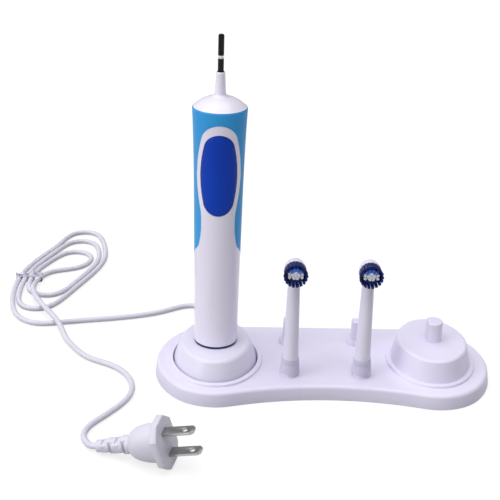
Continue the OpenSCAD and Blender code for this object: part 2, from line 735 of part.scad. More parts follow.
module nose_cap() color("#F4F3F9") at_handle() difference() {
    union() {
        rotate_extrude($fn = 96) {
            dome_r = handle_r(handle_h) - 0.3;
            dome_curve = (dome_r * dome_r + nose_h * nose_h) / (2 * nose_h);
            intersection() {
                translate([0, neck_z - dome_curve]) circle(dome_curve, $fn = 180);
                translate([0, nose_z]) square([dome_r, nose_h]);
            }
            polygon([[0, nose_z], [neck_foot_r + 1.2, nose_z], [neck_foot_r + 1.2, neck_z - 0.6],
                [neck_foot_r, neck_z + 0.8], [neck_top_r + 0.15, neck_top - 0.6],
                [neck_top_r, neck_top], [0, neck_top]]);
        }
        translate([0, 0, nose_z - 7]) cylinder(r = seat_r, h = 7 + eps);
    }
    translate([0, 0, nose_z - 9]) cylinder(r = bushing_r + 2, h = 4);
    translate([0, 0, nose_z - 9]) cylinder(r = bushing_r, h = 9 + bushing_h - 5);
    translate([0, 0, nose_z]) cylinder(r = journal_r + 0.3, h = neck_top - nose_z + eps);
    translate([0, 0, nose_z - 5]) ring(bore_r + eps, bore_r - 0.9, 1.6);
}

module nose_seal() color("#2B2B30") at_handle() translate([0, 0, nose_z - 4.2])
    rotate_extrude() translate([bore_r - 0.62, 0]) circle(0.55);

// Dark cap that closes the base: the pocket for the post stands up inside it
module base_cap() color(navy) at_handle() difference() {
    union() {
        cylinder(r = handle_r(0), h = base_ring_t);
        cylinder(r = seat_r, h = base_ring_t + cap_plug_h);
        cylinder(r = sleeve_r, h = sleeve_h);
    }
    translate([0, 0, -eps]) d_post(pocket_r, pocket_flat, pocket_h + eps);
    translate([0, 0, base_ring_t + 1]) difference() {
        cylinder(r = seat_r - 1.1, h = sleeve_h);
        translate([0, 0, -eps]) cylinder(r = sleeve_r, h = sleeve_h + 2 * eps);
    }
    translate([0, 0, base_ring_t + 3]) ring(bore_r + eps, bore_r - 0.9, 1.6);
}

module base_seal() color("#2B2B30") at_handle() translate([0, 0, base_ring_t + 3.8])
    rotate_extrude() translate([bore_r - 0.62, 0]) circle(0.55);

module secondary_coil() color(copper) at_handle() translate([0, 0, base_ring_t + 1])
    ring(seat_r - 1.3, sleeve_r + fit_gap, 8);

// ---- Works in the handle ----

chassis_r = bore_r - fit_gap;
chassis_in_r = chassis_r - 1.2;
chassis_low = sleeve_h;
floor_t = 1.5;
works_y = -0.5;
crank_axle_r = 0.7;
battery_y = 1.4;
contact_t = 0.5;
contact_r = battery_r - 2.5;
battery_low = chassis_low + floor_t + contact_t;
mid_floor = battery_low + battery_h + contact_t;
end_cap_h = 3;
motor_low = mid_floor + floor_t;
motor_top = motor_low + end_cap_h + motor_h;
gear_z = motor_top + floor_t + 0.3;
gear_reach = gear_module * (pinion_teeth + crank_teeth) / 2;
crank_y = works_y + gear_reach;
crank_pin_top = gear_z + gear_w + 1.6;
rocker_z = crank_pin_top + 0.4;
rocker_t = 1.8;
shaft_foot = rocker_z - 0.2;
hub_top = rocker_z + 4;
upper_floor = hub_top + 0.3;
chassis_top = nose_z - 7;
rail_front = -5.6;

// Floors carry the battery, the motor and the shaft; the back shell ties them together
module chassis() color("#C9CCD6") at_handle() difference() {
    union() {
        intersection() {
            translate([0, 0, chassis_low]) ring(chassis_r, chassis_in_r, chassis_top - chassis_low);
            translate([-chassis_r, -1, 0]) cube([2 * chassis_r, 2 * chassis_r, handle_h]);
        }
        intersection() {
            for (z = [chassis_low, mid_floor, motor_top, upper_floor])
                translate([0, 0, z]) cylinder(r = chassis_r, h = floor_t);
            translate([-chassis_r, rail_front, 0]) cube([2 * chassis_r, 4 * chassis_r, handle_h]);
        }
        translate([0, 0, upper_floor]) cylinder(r = bushing_r + 1.2, h = bushing_h);
    }
    translate([0, works_y, motor_top - eps]) cylinder(r = 2.6, h = floor_t + 2 * eps);
    translate([0, crank_y, motor_top - eps]) cylinder(r = crank_axle_r, h = floor_t + 2 * eps);
    translate([0, 0, upper_floor - eps]) cylinder(r = bushing_r, h = bushing_h + 2 * eps);
}

module battery() color("#3F7F5A") at_handle() translate([0, battery_y, battery_low]) {
    cylinder(r = battery_r, h = battery_h - 1.2);
    cylinder(r = 2.6, h = battery_h);
}

module battery_contacts() color("#C8B26A") at_handle()
    for (z = [battery_low - contact_t, battery_low + battery_h])
        translate([0, battery_y, z]) cylinder(r = contact_r, h = contact_t);

pcb_front = -7.2;
board_t = 1.2;
board_half_w = 6.4;
switch_h = 2;
plunger_h = 0.5;

module handle_pcb() color("#2F6B45") at_handle()
    translate([-board_half_w, pcb_front - board_t, mid_floor])
        cube([2 * board_half_w, board_t, upper_floor + floor_t - mid_floor]);

module switch() color("#26262A") at_handle()
    translate([0, pcb_front - board_t, button_z]) rotate([90, 0, 0]) {
        translate([-3, -3, 0]) cube([6, 6, switch_h]);
        cylinder(r = 1.7, h = switch_h + plunger_h);
    }

// Front view of the button, in [x, height]
module button_outline(g = 0) {
    translate([0, button_z])
        polygon(oval_points([button_w / 2, button_h / 2, button_w / 2 - 1.6], g));
}

module power_button() color(button_blue) at_handle() {
    skin = 2.2;
    plunger_face = -pcb_front + board_t + switch_h + plunger_h;
    intersection() {
        difference() {
            handle_form(base_ring_t, handle_h, -0.3);
            handle_form(0, handle_h + eps, skin - 0.3);
        }
        rotate([90, 0, 0]) linear_extrude(2 * handle_base_r) button_outline();
    }
    translate([0, -plunger_face - button_travel - 0.2, button_z]) rotate([90, 0, 0])
        cylinder(r = 1.6, h = handle_r(button_z) - plunger_face - button_travel - skin + 1);
}

bearing_r = 2.5;

module motor_section(g, h) {
    intersection() {
        cylinder(r = motor_r - g, h = h);
        translate([-2 * motor_r, -motor_flat + g, -eps])
            cube([4 * motor_r, 2 * motor_flat - 2 * g, h + 2 * eps]);
    }
}

module at_motor(z) {
    at_handle() translate([0, works_y, z]) children();
}

module motor_can() color("#A9ABB2") at_motor(motor_low + end_cap_h) difference() {
    union() {
        motor_section(0, motor_h);
        translate([0, 0, motor_h - eps]) cylinder(r = bearing_r, h = 1.4 + eps);
    }
    translate([0, 0, -eps]) motor_section(motor_wall, motor_h - motor_wall + eps);
    cylinder(r = rotor_r + run_gap, h = motor_h + 3);
}

module motor_magnets() color("#55565C") at_motor(motor_low + end_cap_h + 2) intersection() {
    ring(motor_r - motor_wall - fit_gap, 5, motor_h - 8);
    union() for (side = [-1, 1])
        translate([side * motor_r - 3.4, -motor_r / 2, -eps]) cube([6.8, motor_r, motor_h]);
    translate([-motor_r, -motor_flat + motor_wall + fit_gap, -eps])
        cube([2 * motor_r, 2 * (motor_flat - motor_wall - fit_gap), motor_h]);
}

module motor_end_cap() color("#2E2E33") at_motor(motor_low) difference() {
    motor_section(0, end_cap_h);
    translate([0, 0, 0.8]) cylinder(r = rotor_r + run_gap, h = end_cap_h);
}

armature_r = 4.6;
module motor_armature() color(copper) at_motor(motor_low + end_cap_h + 3) difference() {
    cylinder(r = armature_r, h = motor_h - 10);
    translate([0, 0, -eps]) cylinder(r = rotor_r, h = motor_h);
    for (i = [0:2]) rotate(120 * i) translate([armature_r - 2, -0.6, -eps])
        cube([3, 1.2, motor_h]);
}

module motor_shaft() color(steel) at_motor(motor_low + 0.9)
    cylinder(r = rotor_r, h = gear_z + gear_w + 0.3 - motor_low - 0.9);

// A spur gear's outline, with straight flanks and backlash
module spur(teeth, pitch_r) {
    tip = pitch_r + 0.8 * gear_module;
    root = pitch_r - 1.1 * gear_module;
    step = 360 / teeth;
    polygon([for (i = [0:teeth - 1]) for (p = [[root, -0.27], [tip, -0.12], [tip, 0.12],
        [root, 0.27]]) p.x * [cos(step * (i + p.y)), sin(step * (i + p.y))]]);
}

module motor_pinion() color("#C8B26A") at_motor(gear_z) linear_extrude(gear_w + 0.2) difference() {
    rotate(90) spur(pinion_teeth, gear_module * pinion_teeth / 2);
    circle(rotor_r);
}

module crank_gear() color("#E8E2D0") at_handle() translate([0, crank_y, gear_z]) {
    difference() {
        linear_extrude(gear_w) difference() {
            rotate(-90 + 180 / crank_teeth) spur(crank_teeth, gear_module * crank_teeth / 2);
            circle(crank_axle_r + run_gap);
        }
    }
    translate([0, crank_throw, gear_w - eps])
        cylinder(r = crank_pin_r, h = crank_pin_top - gear_z - gear_w + eps);
}

module crank_axle() color(steel) at_handle() translate([0, crank_y, motor_top])
    cylinder(r = crank_axle_r, h = gear_z + gear_w - 0.2 - motor_top);

// The rocker's fork straddles the crank pin's circle
module rocker_arm() color("#7C7F88") at_handle() translate([0, 0, rocker_z]) difference() {
    union() {
        cylinder(r = journal_r + 1.2, h = hub_top - rocker_z);
        translate([-2.2, 0, 0]) cube([4.4, crank_y + crank_throw + 1, rocker_t]);
    }
    translate([0, 0, -eps]) cylinder(r = journal_r, h = 10);
    translate([-crank_pin_r - run_gap, crank_y - crank_throw - crank_pin_r - 0.2, -eps])
        cube([2 * (crank_pin_r + run_gap), 10, rocker_t + 2 * eps]);
}

shaft_tip = neck_top + shaft_out;
groove_z = neck_top + 7.4;
module drive_shaft() color(steel) at_handle() difference() {
    union() {
        translate([0, 0, shaft_foot]) cylinder(r = journal_r, h = neck_top + 0.4 - shaft_foot);
        translate([0, 0, neck_top]) cylinder(r = shaft_r, h = shaft_tip - 0.6 - neck_top);
        translate([0, 0, shaft_tip - 0.6]) cylinder(r1 = shaft_r, r2 = shaft_r - 0.5, h = 0.6);
    }
    translate([0, 0, groove_z]) ring(shaft_r + eps, shaft_r - 0.35, 1);
    translate([-shaft_r, -shaft_r - 1, groove_z + 2.6]) cube([2 * shaft_r, 1.45, shaft_out]);
}

module shaft_clip() color("#55565C") at_handle()
    translate([0, 0, upper_floor + bushing_h + 0.2]) ring(journal_r + 1.3, journal_r, 0.8);

module lower_bushing() color("#B58A45") at_handle() translate([0, 0, upper_floor])
    ring(bushing_r - 0.02, journal_r + run_gap, bushing_h);

module upper_bushing() color("#B58A45") at_handle() translate([0, 0, nose_z - 5])
    ring(bushing_r - 0.02, journal_r + run_gap, bushing_h - 0.1);

module shaft_seal() color("#2B2B30") at_handle() translate([0, 0, nose_z + bushing_h - 4.9])
    ring(bushing_r, journal_r + run_gap, 0.8);

// ---- Brush heads: heights below are above a head's foot ----

head_bore_r = peg_r + seat_gap;
mouth_r = collar_r - (collar_r - peg_r) * head_lift / collar_h + seat_gap;
mouth_h = (mouth_r - head_bore_r) * collar_h / (collar_r - peg_r);
sleeve_out_r = tube_r - 0.05;
bore_end = peg_h - head_lift + 1;
link_r = 2.2;
link_tip_r = 1.1;
link_low = bore_end + 1;
cup_r = disc_r - 0.7;
cup_t = 3.6;
cup_front = -1.6;
disc_back = cup_front - 0.3;
disc_front = disc_back - disc_t;
pivot_r = 0.8;

module at_head(side) {
    translate([side * peg_x, -peg_front, deck_z + head_lift]) children();
}

module at_disc(side, y) {
    at_head(side) translate([0, y, disc_z]) rotate([90, 0, 0]) children();
}

module head_tube(side) color("#E9E8F1") at_head(side) difference() {
    union() {
        cylinder(r = sleeve_out_r, h = ring_h);
        translate([0, 0, ring_h]) cylinder(r1 = tube_r, r2 = tube_top_r, h = tube_h - ring_h);
        translate([0, 0, tube_h]) cylinder(r1 = tube_top_r, r2 = tube_end_r,
            h = disc_z - tube_h);
        translate([0, cup_front, disc_z]) rotate([-90, 0, 0]) cylinder(r = cup_r, h = cup_t);
    }
    translate([0, 0, -0.01]) cylinder(r1 = mouth_r, r2 = head_bore_r, h = mouth_h);
    translate([0, 0, -eps]) cylinder(r = head_bore_r, h = bore_end + eps);
    cylinder(r = link_r + 0.3, h = tube_h - 2);
    cylinder(r = link_tip_r + 0.3, h = disc_z);
    translate([0, cup_front - eps, disc_z]) rotate([-90, 0, 0])
        cylinder(r = cup_r - 1, h = cup_t - 1.2 + eps);
    translate([0, 0, disc_z]) rotate([-90, 45, 0])
        cylinder(r = pivot_r + run_gap, h = cup_front + cup_t - 0.3);
    translate([-4 * disc_r, disc_back + 0.15 - 2 * disc_r, disc_z - disc_r - 0.4])
        cube([8 * disc_r, 2 * disc_r, 4 * disc_r]);
}

module head_ring(side) color("#DCDAE8") at_head(side) difference() {
    cylinder(r1 = ring_r, r2 = tube_r + 0.25, h = ring_h - 0.1);
    translate([0, 0, -eps]) cylinder(r = sleeve_out_r + 0.02, h = ring_h + 1);
}

// Passes the shaft's swing up the tube; its finger stops just short of the disc
module head_link(side) color("#B9BBC6") at_head(side) difference() {
    link_top = disc_z - pivot_r - 0.3;
    union() {
        translate([0, 0, link_low]) cylinder(r = link_r, h = tube_h - 3 - link_low);
        translate([0, 0, link_low]) cylinder(r = link_tip_r, h = link_top - link_low);
        translate([-0.5, disc_back + 0.3, link_top - 1.6]) cube([1, -disc_back - 0.3, 1.6]);
    }
    translate([0, 0, link_low - eps]) rotate(90)
        d_post(shaft_r + run_gap, shaft_r - 0.4, 12);
}

module brush_disc(side) color("#EDECF4") {
    at_disc(side, disc_back) cylinder(r = disc_r, h = disc_t);
    at_disc(side, cup_front + cup_t - 0.4)
        cylinder(r = pivot_r, h = cup_front + cup_t - 0.4 - disc_back + eps);
}

module tufts(side, radius, count, start, sweep) {
    at_disc(side, disc_front)
        for (i = [0:count - 1]) rotate(start + sweep * i / count)
            translate([radius, 0, 0]) cylinder(r = tuft_r, h = bristle_l, $fn = 16);
}

rim_tuft_r = disc_r - tuft_r - 0.15;
module bristles_rim(side) color(navy) tufts(side, rim_tuft_r, 18, -80, 360);

module bristles_mid(side) color("#4F78C8") tufts(side, rim_tuft_r - 2 * tuft_r - 0.5, 12, 15, 360);

module bristles_core(side) color("#EEF1FA") {
    tufts(side, rim_tuft_r - 4 * tuft_r - 0.9, 5, 90, 360);
}

stand_tray();
charger_housing();
charger_base_plate();
coil_former();
primary_coil();
ferrite_rod();
charger_pcb();
charger_components();
cord_gland();
cord_lead();
cord_hank();
cord_tail();
plug_relief();
plug_body();
plug_blades();
handle_shell();
grip_overmold();
nose_cap();
nose_seal();
base_cap();
base_seal();
secondary_coil();
chassis();
battery();
battery_contacts();
handle_pcb();
switch();
power_button();
motor_can();
motor_magnets();
motor_end_cap();
motor_armature();
motor_shaft();
motor_pinion();
crank_gear();
crank_axle();
rocker_arm();
drive_shaft();
shaft_clip();
lower_bushing();
upper_bushing();
shaft_seal();
head_tube(-1);  // head_tube_a
head_ring(-1);  // head_ring_a
head_link(-1);  // head_link_a
brush_disc(-1);  // brush_disc_a
bristles_rim(-1);  // bristles_rim_a
bristles_mid(-1);  // bristles_mid_a
bristles_core(-1);  // bristles_core_a
head_tube(1);  // head_tube_b
head_ring(1);  // head_ring_b
head_link(1);  // head_link_b
brush_disc(1);  // brush_disc_b
bristles_rim(1);  // bristles_rim_b
bristles_mid(1);  // bristles_mid_b
bristles_core(1);  // bristles_core_b
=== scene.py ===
"""Electric toothbrush on its charger, in a white stand with two spare brush heads.

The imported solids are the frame. The pieces that show are made again here with their
real edges, fillets and filaments; the works inside keep their solids. Lengths are in
millimetres until a mesh is made. X runs along the stand, -Y is the front, Z is up.
"""

import json
import math
import random

import bmesh
import bpy
from mathutils import Matrix, Vector


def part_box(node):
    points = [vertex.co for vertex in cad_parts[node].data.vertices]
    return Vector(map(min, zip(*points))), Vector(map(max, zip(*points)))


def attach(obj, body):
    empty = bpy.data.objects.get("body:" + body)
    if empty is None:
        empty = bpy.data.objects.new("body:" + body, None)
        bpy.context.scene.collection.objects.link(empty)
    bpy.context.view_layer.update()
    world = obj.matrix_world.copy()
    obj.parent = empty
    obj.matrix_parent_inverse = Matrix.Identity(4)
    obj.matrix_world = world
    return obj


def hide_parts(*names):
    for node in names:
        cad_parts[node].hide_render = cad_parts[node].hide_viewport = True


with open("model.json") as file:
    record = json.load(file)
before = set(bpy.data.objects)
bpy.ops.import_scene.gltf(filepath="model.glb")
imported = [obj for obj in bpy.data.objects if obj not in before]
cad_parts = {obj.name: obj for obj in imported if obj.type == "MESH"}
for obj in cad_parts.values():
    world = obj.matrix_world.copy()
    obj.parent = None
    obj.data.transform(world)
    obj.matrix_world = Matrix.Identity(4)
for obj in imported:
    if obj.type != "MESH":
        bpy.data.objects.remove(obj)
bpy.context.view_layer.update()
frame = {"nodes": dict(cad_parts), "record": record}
MM = 0.001


def corners(name):
    """Lowest and highest corner of a solid, in millimetres."""
    low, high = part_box(name)
    return low / MM, high / MM


# ---- Sizes, shared with the solids ----

# dock is how far the centres of the two docks are from the middle. An oval is given by
# its half-width, its half-depth and the radius of its ends.
charger_low, charger_high = corners("charger_housing")
dock = -(charger_low.x + charger_high.x) / 2
deck_z = 8.6
deck_oval = (31.6, 38.4, 28)
waist = 29.2
edge_r = 2.2
skirt_flare = 3.1
wall = 2
rim_w = 2.6
rim_z = deck_z + 1.6
charger_oval = (23.9, 30.4, 19.4)
charger_foot = charger_low.z
charger_top = 20.8
charger_lean = 3.9
charger_wall = 1.8
hole_oval = (24.75, 31.7, 20.25)
dome_oval = (23.1, 29.6, 18.6)
dome_top = 22.8
dome_lean = 3
post_r = 5.4
post_flat = 3.3
post_h = charger_high.z - charger_top

peg_x = 20.5
peg_front = -17.8
peg_back = 20.2
peg_r = 3.6
peg_flat = 2.2
peg_h = 15.5
collar_r = 4.7
collar_h = 3.4

handle_z = charger_top
handle_h = corners("handle_shell")[1].z - handle_z
bore_r = 10.95
grip_t = 0.8
grip_side = 54.4
grip_low = 41.4
button_h = handle_h - 34.7
button_oval = (9.6, 22.8, 8)
frame_oval = (11.7, 27.3, 9.7)
frame_h = button_h + 0.8
waist_half = frame_oval[0] - 2.6
nose_h = 6
neck_h = 12.7

head_z = deck_z + 2
head_y = peg_front
head_x = {"a": -peg_x, "b": peg_x}
tube_h = 51.4
ring_h = 9.2
cup_r = 5.6
cup_t = 3.6
cup_back = -1.6
disc_h = 64.6
disc_r = 6.3
disc_t = 2.2
disc_back = -1.9
disc_front = disc_back - disc_t
bristle_l = 7
filament_r = 0.13

cord_r = 1.7
gland_z = (corners("cord_gland")[0].z + corners("cord_gland")[1].z) / 2
gland_l = 20
plug_tail = Vector((-123, -86, 3.8))
plug_l = 40
flange_half = (11, 13.5)
flange_t = 4
flange_cut = 6
blade_z = 6.35
blade_half_w = 3.15
blade_half_t = 0.75
plug_turn = math.radians(-18)
plug_roll = math.radians(7)
# the plug rests on its cord and on the lowest corner of its flange
corner_reach = plug_l - flange_t
corner_drop = (flange_half[1] * math.cos(plug_roll)
               + (flange_half[0] - flange_cut) * math.sin(plug_roll))
plug_tilt = (math.atan2(corner_drop, corner_reach)
             - math.asin((plug_tail.z - 0.05) / math.hypot(corner_reach, corner_drop)))


# ---- Outlines ----

def arc(x, y, r, start, end, steps):
    """Points of an arc, without its last one; angles in radians."""
    turns = [start + (end - start) * i / steps for i in range(steps)]
    return [(x + r * math.cos(t), y + r * math.sin(t)) for t in turns]


def side_arc(size):
    """Radius of an oval's two long sides, and half the angle that each sweeps."""
    a, b, end = size
    side = (a * a + (b - end) ** 2 - end * end) / (2 * (a - end))
    return side, math.atan2(b - end, side - a)


def oval(size, grow=0, fine=2):
    """An oval of four tangent arcs."""
    a, b, end = size
    side, half = side_arc(size)
    return (arc(a - side, 0, side + grow, -half, half, 10 * fine)
            + arc(0, b - end, end + grow, half, math.pi - half, 12 * fine)
            + arc(side - a, 0, side + grow, math.pi - half, math.pi + half, 10 * fine)
            + arc(0, end - b, end + grow, math.pi + half, 2 * math.pi - half, 12 * fine))


def stand_outline(grow):
    """Oval ends, a straight back and a concave front."""
    reach, half_y, corner = deck_oval
    side, half = side_arc(deck_oval)
    corner_y = half_y - corner
    drop = waist - corner_y
    waist_r = (dock * dock + drop * drop - corner * corner) / (2 * (corner - drop))
    lean = math.atan2(dock, waist_r + drop)
    end = arc(dock, -corner_y, corner + grow, -math.pi / 2 - lean, -half, 24)
    end += arc(dock + reach - side, 0, side + grow, -half, half, 20)
    end += arc(dock, corner_y, corner + grow, half, math.pi / 2, 20)
    back_y = corner_y + corner + grow
    back = [(dock * (1 - i / 8), back_y) for i in range(17)]
    left = [(-x, y) for x, y in reversed(end)]
    front = arc(0, -waist - waist_r, waist_r - grow, math.pi / 2 + lean,
                math.pi / 2 - lean, 40)
    return end + back + left + front[1:]


def d_outline(r, flat, grow):
    """A circle with a flat side that faces -X."""
    gap = math.acos((flat + grow) / (r + grow))
    round_side = arc(0, 0, r + grow, gap - math.pi, math.pi - gap, 56)
    x, y = -(flat + grow), (r + grow) * math.sin(gap)
    return round_side + [(x, y * (1 - i / 3)) for i in range(7)][:-1]


def edge(z0, z1, lean, r, steps=8):
    """Levels (grow, z) of a side that leans in from z0 and ends in a round edge at z1."""
    h = z1 - z0
    start = math.atan2(lean, h)
    x = -(r * math.hypot(h, lean) + lean * (h - r)) / h
    turns = [start + (math.pi / 2 - start) * i / steps for i in range(steps + 1)]
    return [(x + r * math.cos(t), z1 - r + r * math.sin(t)) for t in turns]


def quarter(x, z, r, steps=5, start=0):
    """Levels (grow, z) of a quarter round about (x, z), from the side to the top."""
    turns = [start + math.pi / 2 * i / steps for i in range(steps + 1)]
    return [(x + r * math.cos(t), z + r * math.sin(t)) for t in turns]


def fillet(r, z, steps=5):
    """Levels (grow, z) of the hollow round that carries an upright wall on a face."""
    turns = [math.pi / 2 * i / steps for i in range(steps + 1)]
    return [(r - r * math.sin(t), z + r - r * math.cos(t)) for t in turns]


# ---- Shapes: a list of points and a list of faces ----

def loft(rings, caps=True):
    """A skin over rings with the same number of points, closed at its two ends."""
    n = len(rings[0])
    faces = [(i * n + k, i * n + (k + 1) % n, (i + 1) * n + (k + 1) % n, (i + 1) * n + k)
             for i in range(len(rings) - 1) for k in range(n)]
    if caps:
        top = (len(rings) - 1) * n
        faces += [tuple(range(n - 1, -1, -1)), tuple(range(top, top + n))]
    return [p for ring in rings for p in ring], faces


def stack(outline, levels):
    """outline is a function of how far it grows; levels are (grow, z)."""
    return loft([[(x, y, z) for x, y in outline(grow)] for grow, z in levels])


def lathe(profile, steps=96, closed=False):
    """Turns (radius, z) points round Z. A closed profile makes a hollow ring."""
    turns = [2 * math.pi * i / steps for i in range(steps)]
    rings = [[(r * math.cos(t), r * math.sin(t), z) for t in turns] for r, z in profile]
    if closed:
        rings.append(rings[0])
    return loft(rings, caps=not closed)


def rod(r, z0, z1, steps):
    """A round bar or hole along Z."""
    return lathe([(0, z0), (r, z0), (r, z1), (0, z1)], steps)


def prism(outline, z0, z1):
    """An outline drawn straight up from one height to another."""
    return loft([[(x, y, z) for x, y in outline] for z in (z0, z1)])


def box(low, high):
    """A block between two corners."""
    (x0, y0, z0), (x1, y1, z1) = low, high
    return prism([(x0, y0), (x1, y0), (x1, y1), (x0, y1)], z0, z1)


def move(shape, *steps):
    """The shape after some matrices, the last one first."""
    matrix = Matrix.Identity(4)
    for step in steps:
        matrix = matrix @ step
    return [tuple(matrix @ Vector(p)) for p in shape[0]], shape[1]


def at(x, y, z=0):
    return Matrix.Translation((x, y, z))


def turn(angle, axis):
    return Matrix.Rotation(angle, 4, axis)


def both(*shapes):
    """Several shapes as one."""
    points, faces = [], []
    for more_points, more_faces in shapes:
        faces += [tuple(len(points) + i for i in face) for face in more_faces]
        points += more_points
    return points, faces


# ---- Meshes ----

def solid(shape, name="tool"):
    """A mesh object in metres, welded, with its normals outward."""
    mesh = bpy.data.meshes.new(name)
    mesh.from_pydata([[c * MM for c in p] for p in shape[0]], [], shape[1])
    work = bmesh.new()
    work.from_mesh(mesh)
    bmesh.ops.remove_doubles(work, verts=work.verts, dist=1e-7)
    bmesh.ops.dissolve_degenerate(work, edges=work.edges, dist=1e-8)
    bmesh.ops.recalc_face_normals(work, faces=work.faces)
    work.to_mesh(mesh)
    work.free()
    thing = bpy.data.objects.new(name, mesh)
    bpy.context.scene.collection.objects.link(thing)
    return thing


def settle(thing):
    """Applies the object's modifiers to its mesh."""
    ready = thing.evaluated_get(bpy.context.evaluated_depsgraph_get())
    mesh = bpy.data.meshes.new_from_object(ready)
    thing.modifiers.clear()
    thing.data = mesh


def shape_with(thing, operation, shape):
    """Joins, cuts or keeps the common part of a mesh and a shape."""
    tool = solid(shape)
    change = thing.modifiers.new("with_tool", "BOOLEAN")
    change.operation = operation
    change.solver = "EXACT"
    change.object = tool
    settle(thing)
    bpy.data.objects.remove(tool)


def made(shape, add=(), cut=(), keep=()):
    """A shape with others joined to it, then cut from it, then kept in common."""
    thing = solid(shape)
    for operation, group in (("UNION", add), ("DIFFERENCE", cut), ("INTERSECT", keep)):
        for other in group:
            shape_with(thing, operation, other)
    return thing


def as_shape(tool):
    """The points and faces of a mesh that only served as a tool, which is removed."""
    shape = ([tuple(v.co / MM) for v in tool.data.vertices],
             [tuple(face.vertices) for face in tool.data.polygons])
    bpy.data.objects.remove(tool)
    return shape


def soften(thing, width, angle=40):
    """Rounds the edges that are sharper than the angle."""
    change = thing.modifiers.new("edges", "BEVEL")
    change.width = width * MM
    change.segments = 2
    change.limit_method = "ANGLE"
    change.angle_limit = math.radians(angle)
    settle(thing)


def shift(thing, x, y, z, turned=Matrix()):
    """Turns a mesh, then moves it by millimetres."""
    thing.data.transform(Matrix.Translation((x * MM, y * MM, z * MM)) @ turned)


def fit(thing, name, body, finish, replaces=()):
    """Names a piece, shades it with crisp edges above 32 degrees, gives it its finish
    and lets it ride on its body."""
    thing.name = name
    thing.data.name = name
    thing.data.materials.clear()
    thing.data.materials.append(finishes[finish])
    thing.data.shade_smooth()
    thing.data.set_sharp_from_angle(angle=math.radians(32))
    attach(thing, body)
    if replaces:
        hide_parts(*replaces)
    return thing


# ---- Camera ----

def make_camera():
    """A long lens in front of the stand and a little above it, rolled slightly."""
    around, above, roll = math.radians(-2.75), math.radians(24.537), math.radians(2.186)
    right = Vector((math.cos(around), math.sin(around), 0))
    back = Vector((math.sin(around) * math.cos(above), -math.cos(around) * math.cos(above),
                   math.sin(above)))
    up = back.cross(right)
    side = right * math.cos(roll) + up * math.sin(roll)
    top = up * math.cos(roll) - right * math.sin(roll)
    aim, distance = Vector((-29.379, 150, 0)), 799
    place = aim + back * distance
    data = bpy.data.cameras.new("camera")
    data.sensor_width = 36
    data.lens = 81.03
    data.shift_x = -0.028
    data.shift_y = 0.03
    data.clip_start = 0.01
    data.clip_end = 20
    camera = bpy.data.objects.new("camera", data)
    bpy.context.scene.collection.objects.link(camera)
    turned = Matrix((side, top, back)).transposed().to_4x4()
    camera.matrix_world = at(*(place * MM)) @ turned
    bpy.context.scene.camera = camera


# ---- Cord ----

# Out of the strain relief, round behind the handle, three turns of the hank, over its
# foot and round to the plug. The runs lie higher where the tie passes under them. A
# point without a height lies on the table.
low = cord_r + 0.05
tied = low + 0.4
cord_points = [
    (-63, 49.4, 4), (-63, 54, 3.8), (-63, 58, 3), (-63, 62, 2.2), (-63.2, 66), (-64.6, 71.4),
    (-68.2, 76.4), (-73.4, 79.8), (-79.6, 80.8), (-85.6, 79), (-91.4, 75), (-98, 70.8),
    (-106, 67.2), (-114, 64.6), (-122, 62.4), (-130, 60.4), (-138, 59), (-146, 57.4),
    (-153, 55.8), (-160, 54.2), (-167.4, 52.4),
    # first turn
    (-175, 52), (-182.5, 55.5), (-188.5, 62), (-192.5, 71), (-195, 82), (-196.4, 94),
    (-196.8, 106, tied), (-196, 118, tied), (-194, 130, tied), (-190.6, 142), (-186, 154),
    (-181, 165), (-176.4, 176), (-173.6, 187), (-169, 196.4), (-160.6, 199.8), (-152, 197),
    (-147.4, 188), (-144.6, 177), (-142.4, 165), (-141.6, 153), (-143.4, 141), (-147, 129),
    (-151.6, 117), (-156.4, 105), (-161, 93), (-165.6, 82), (-171.6, 73.6),
    # second turn
    (-179.9, 71.6), (-187.6, 75.2), (-191.6, 84), (-192.6, 95), (-192.8, 107, tied),
    (-191.8, 119, tied), (-189.4, 131, tied), (-185.8, 142.6), (-181.2, 154), (-176.8, 164),
    (-172.6, 174), (-168.1, 180.1), (-162.6, 182.4), (-157.1, 181.9), (-151.9, 178.5),
    (-148.4, 171), (-146.4, 160), (-146, 149), (-148.6, 137), (-153, 125), (-157.8, 113),
    (-162.4, 101), (-167.7, 93.9), (-173.9, 91.7),
    # third turn, which crosses back half-way up
    (-180.4, 92.8), (-186.8, 98.6), (-188.4, 108, tied), (-187.8, 120, tied),
    (-185, 132, tied), (-180.6, 143), (-175.6, 153), (-170.3, 160.8), (-164.5, 163.1),
    (-158.9, 162.6), (-154, 159.3), (-150.6, 152.6), (-152.2, 143.6), (-157.6, 136.4),
    (-165.4, 133), (-173.4, 130.6), (-179.4, 124.8, tied), (-182.8, 117, tied),
    (-184, 109, 3), (-184, 101, 4.4),
    # over the foot of the hank and on to the plug
    (-183, 93, 5.6), (-180.6, 84.6, 5.65), (-176.6, 76, 5.65), (-172, 68, 5.65),
    (-167.4, 60, 5.65), (-162, 51.6, 5.4), (-157.6, 42, 3.5), (-154, 32), (-149, 24),
    (-144, 16), (-138, 9.4), (-131, 5.4), (-124, 1.6), (-117.6, -4), (-113, -11),
    (-110, -19), (-109.4, -27), (-111, -35), (-114.4, -42), (-119, -49), (-124, -56),
    (-129, -62.6), (-131.6, -69.2), (-131.5, -75, 1.9), (-129.5, -80.1, 2.3)
]
cord_points = [(*point, low)[:3] for point in cord_points]


def plug_place():
    """From the plug's own axes, X along the blades, to where it lies on the table."""
    return (Matrix.Translation(plug_tail) @ turn(plug_turn, "Z") @ turn(-plug_tilt, "Y")
            @ at(plug_l, 0) @ turn(plug_roll, "X"))


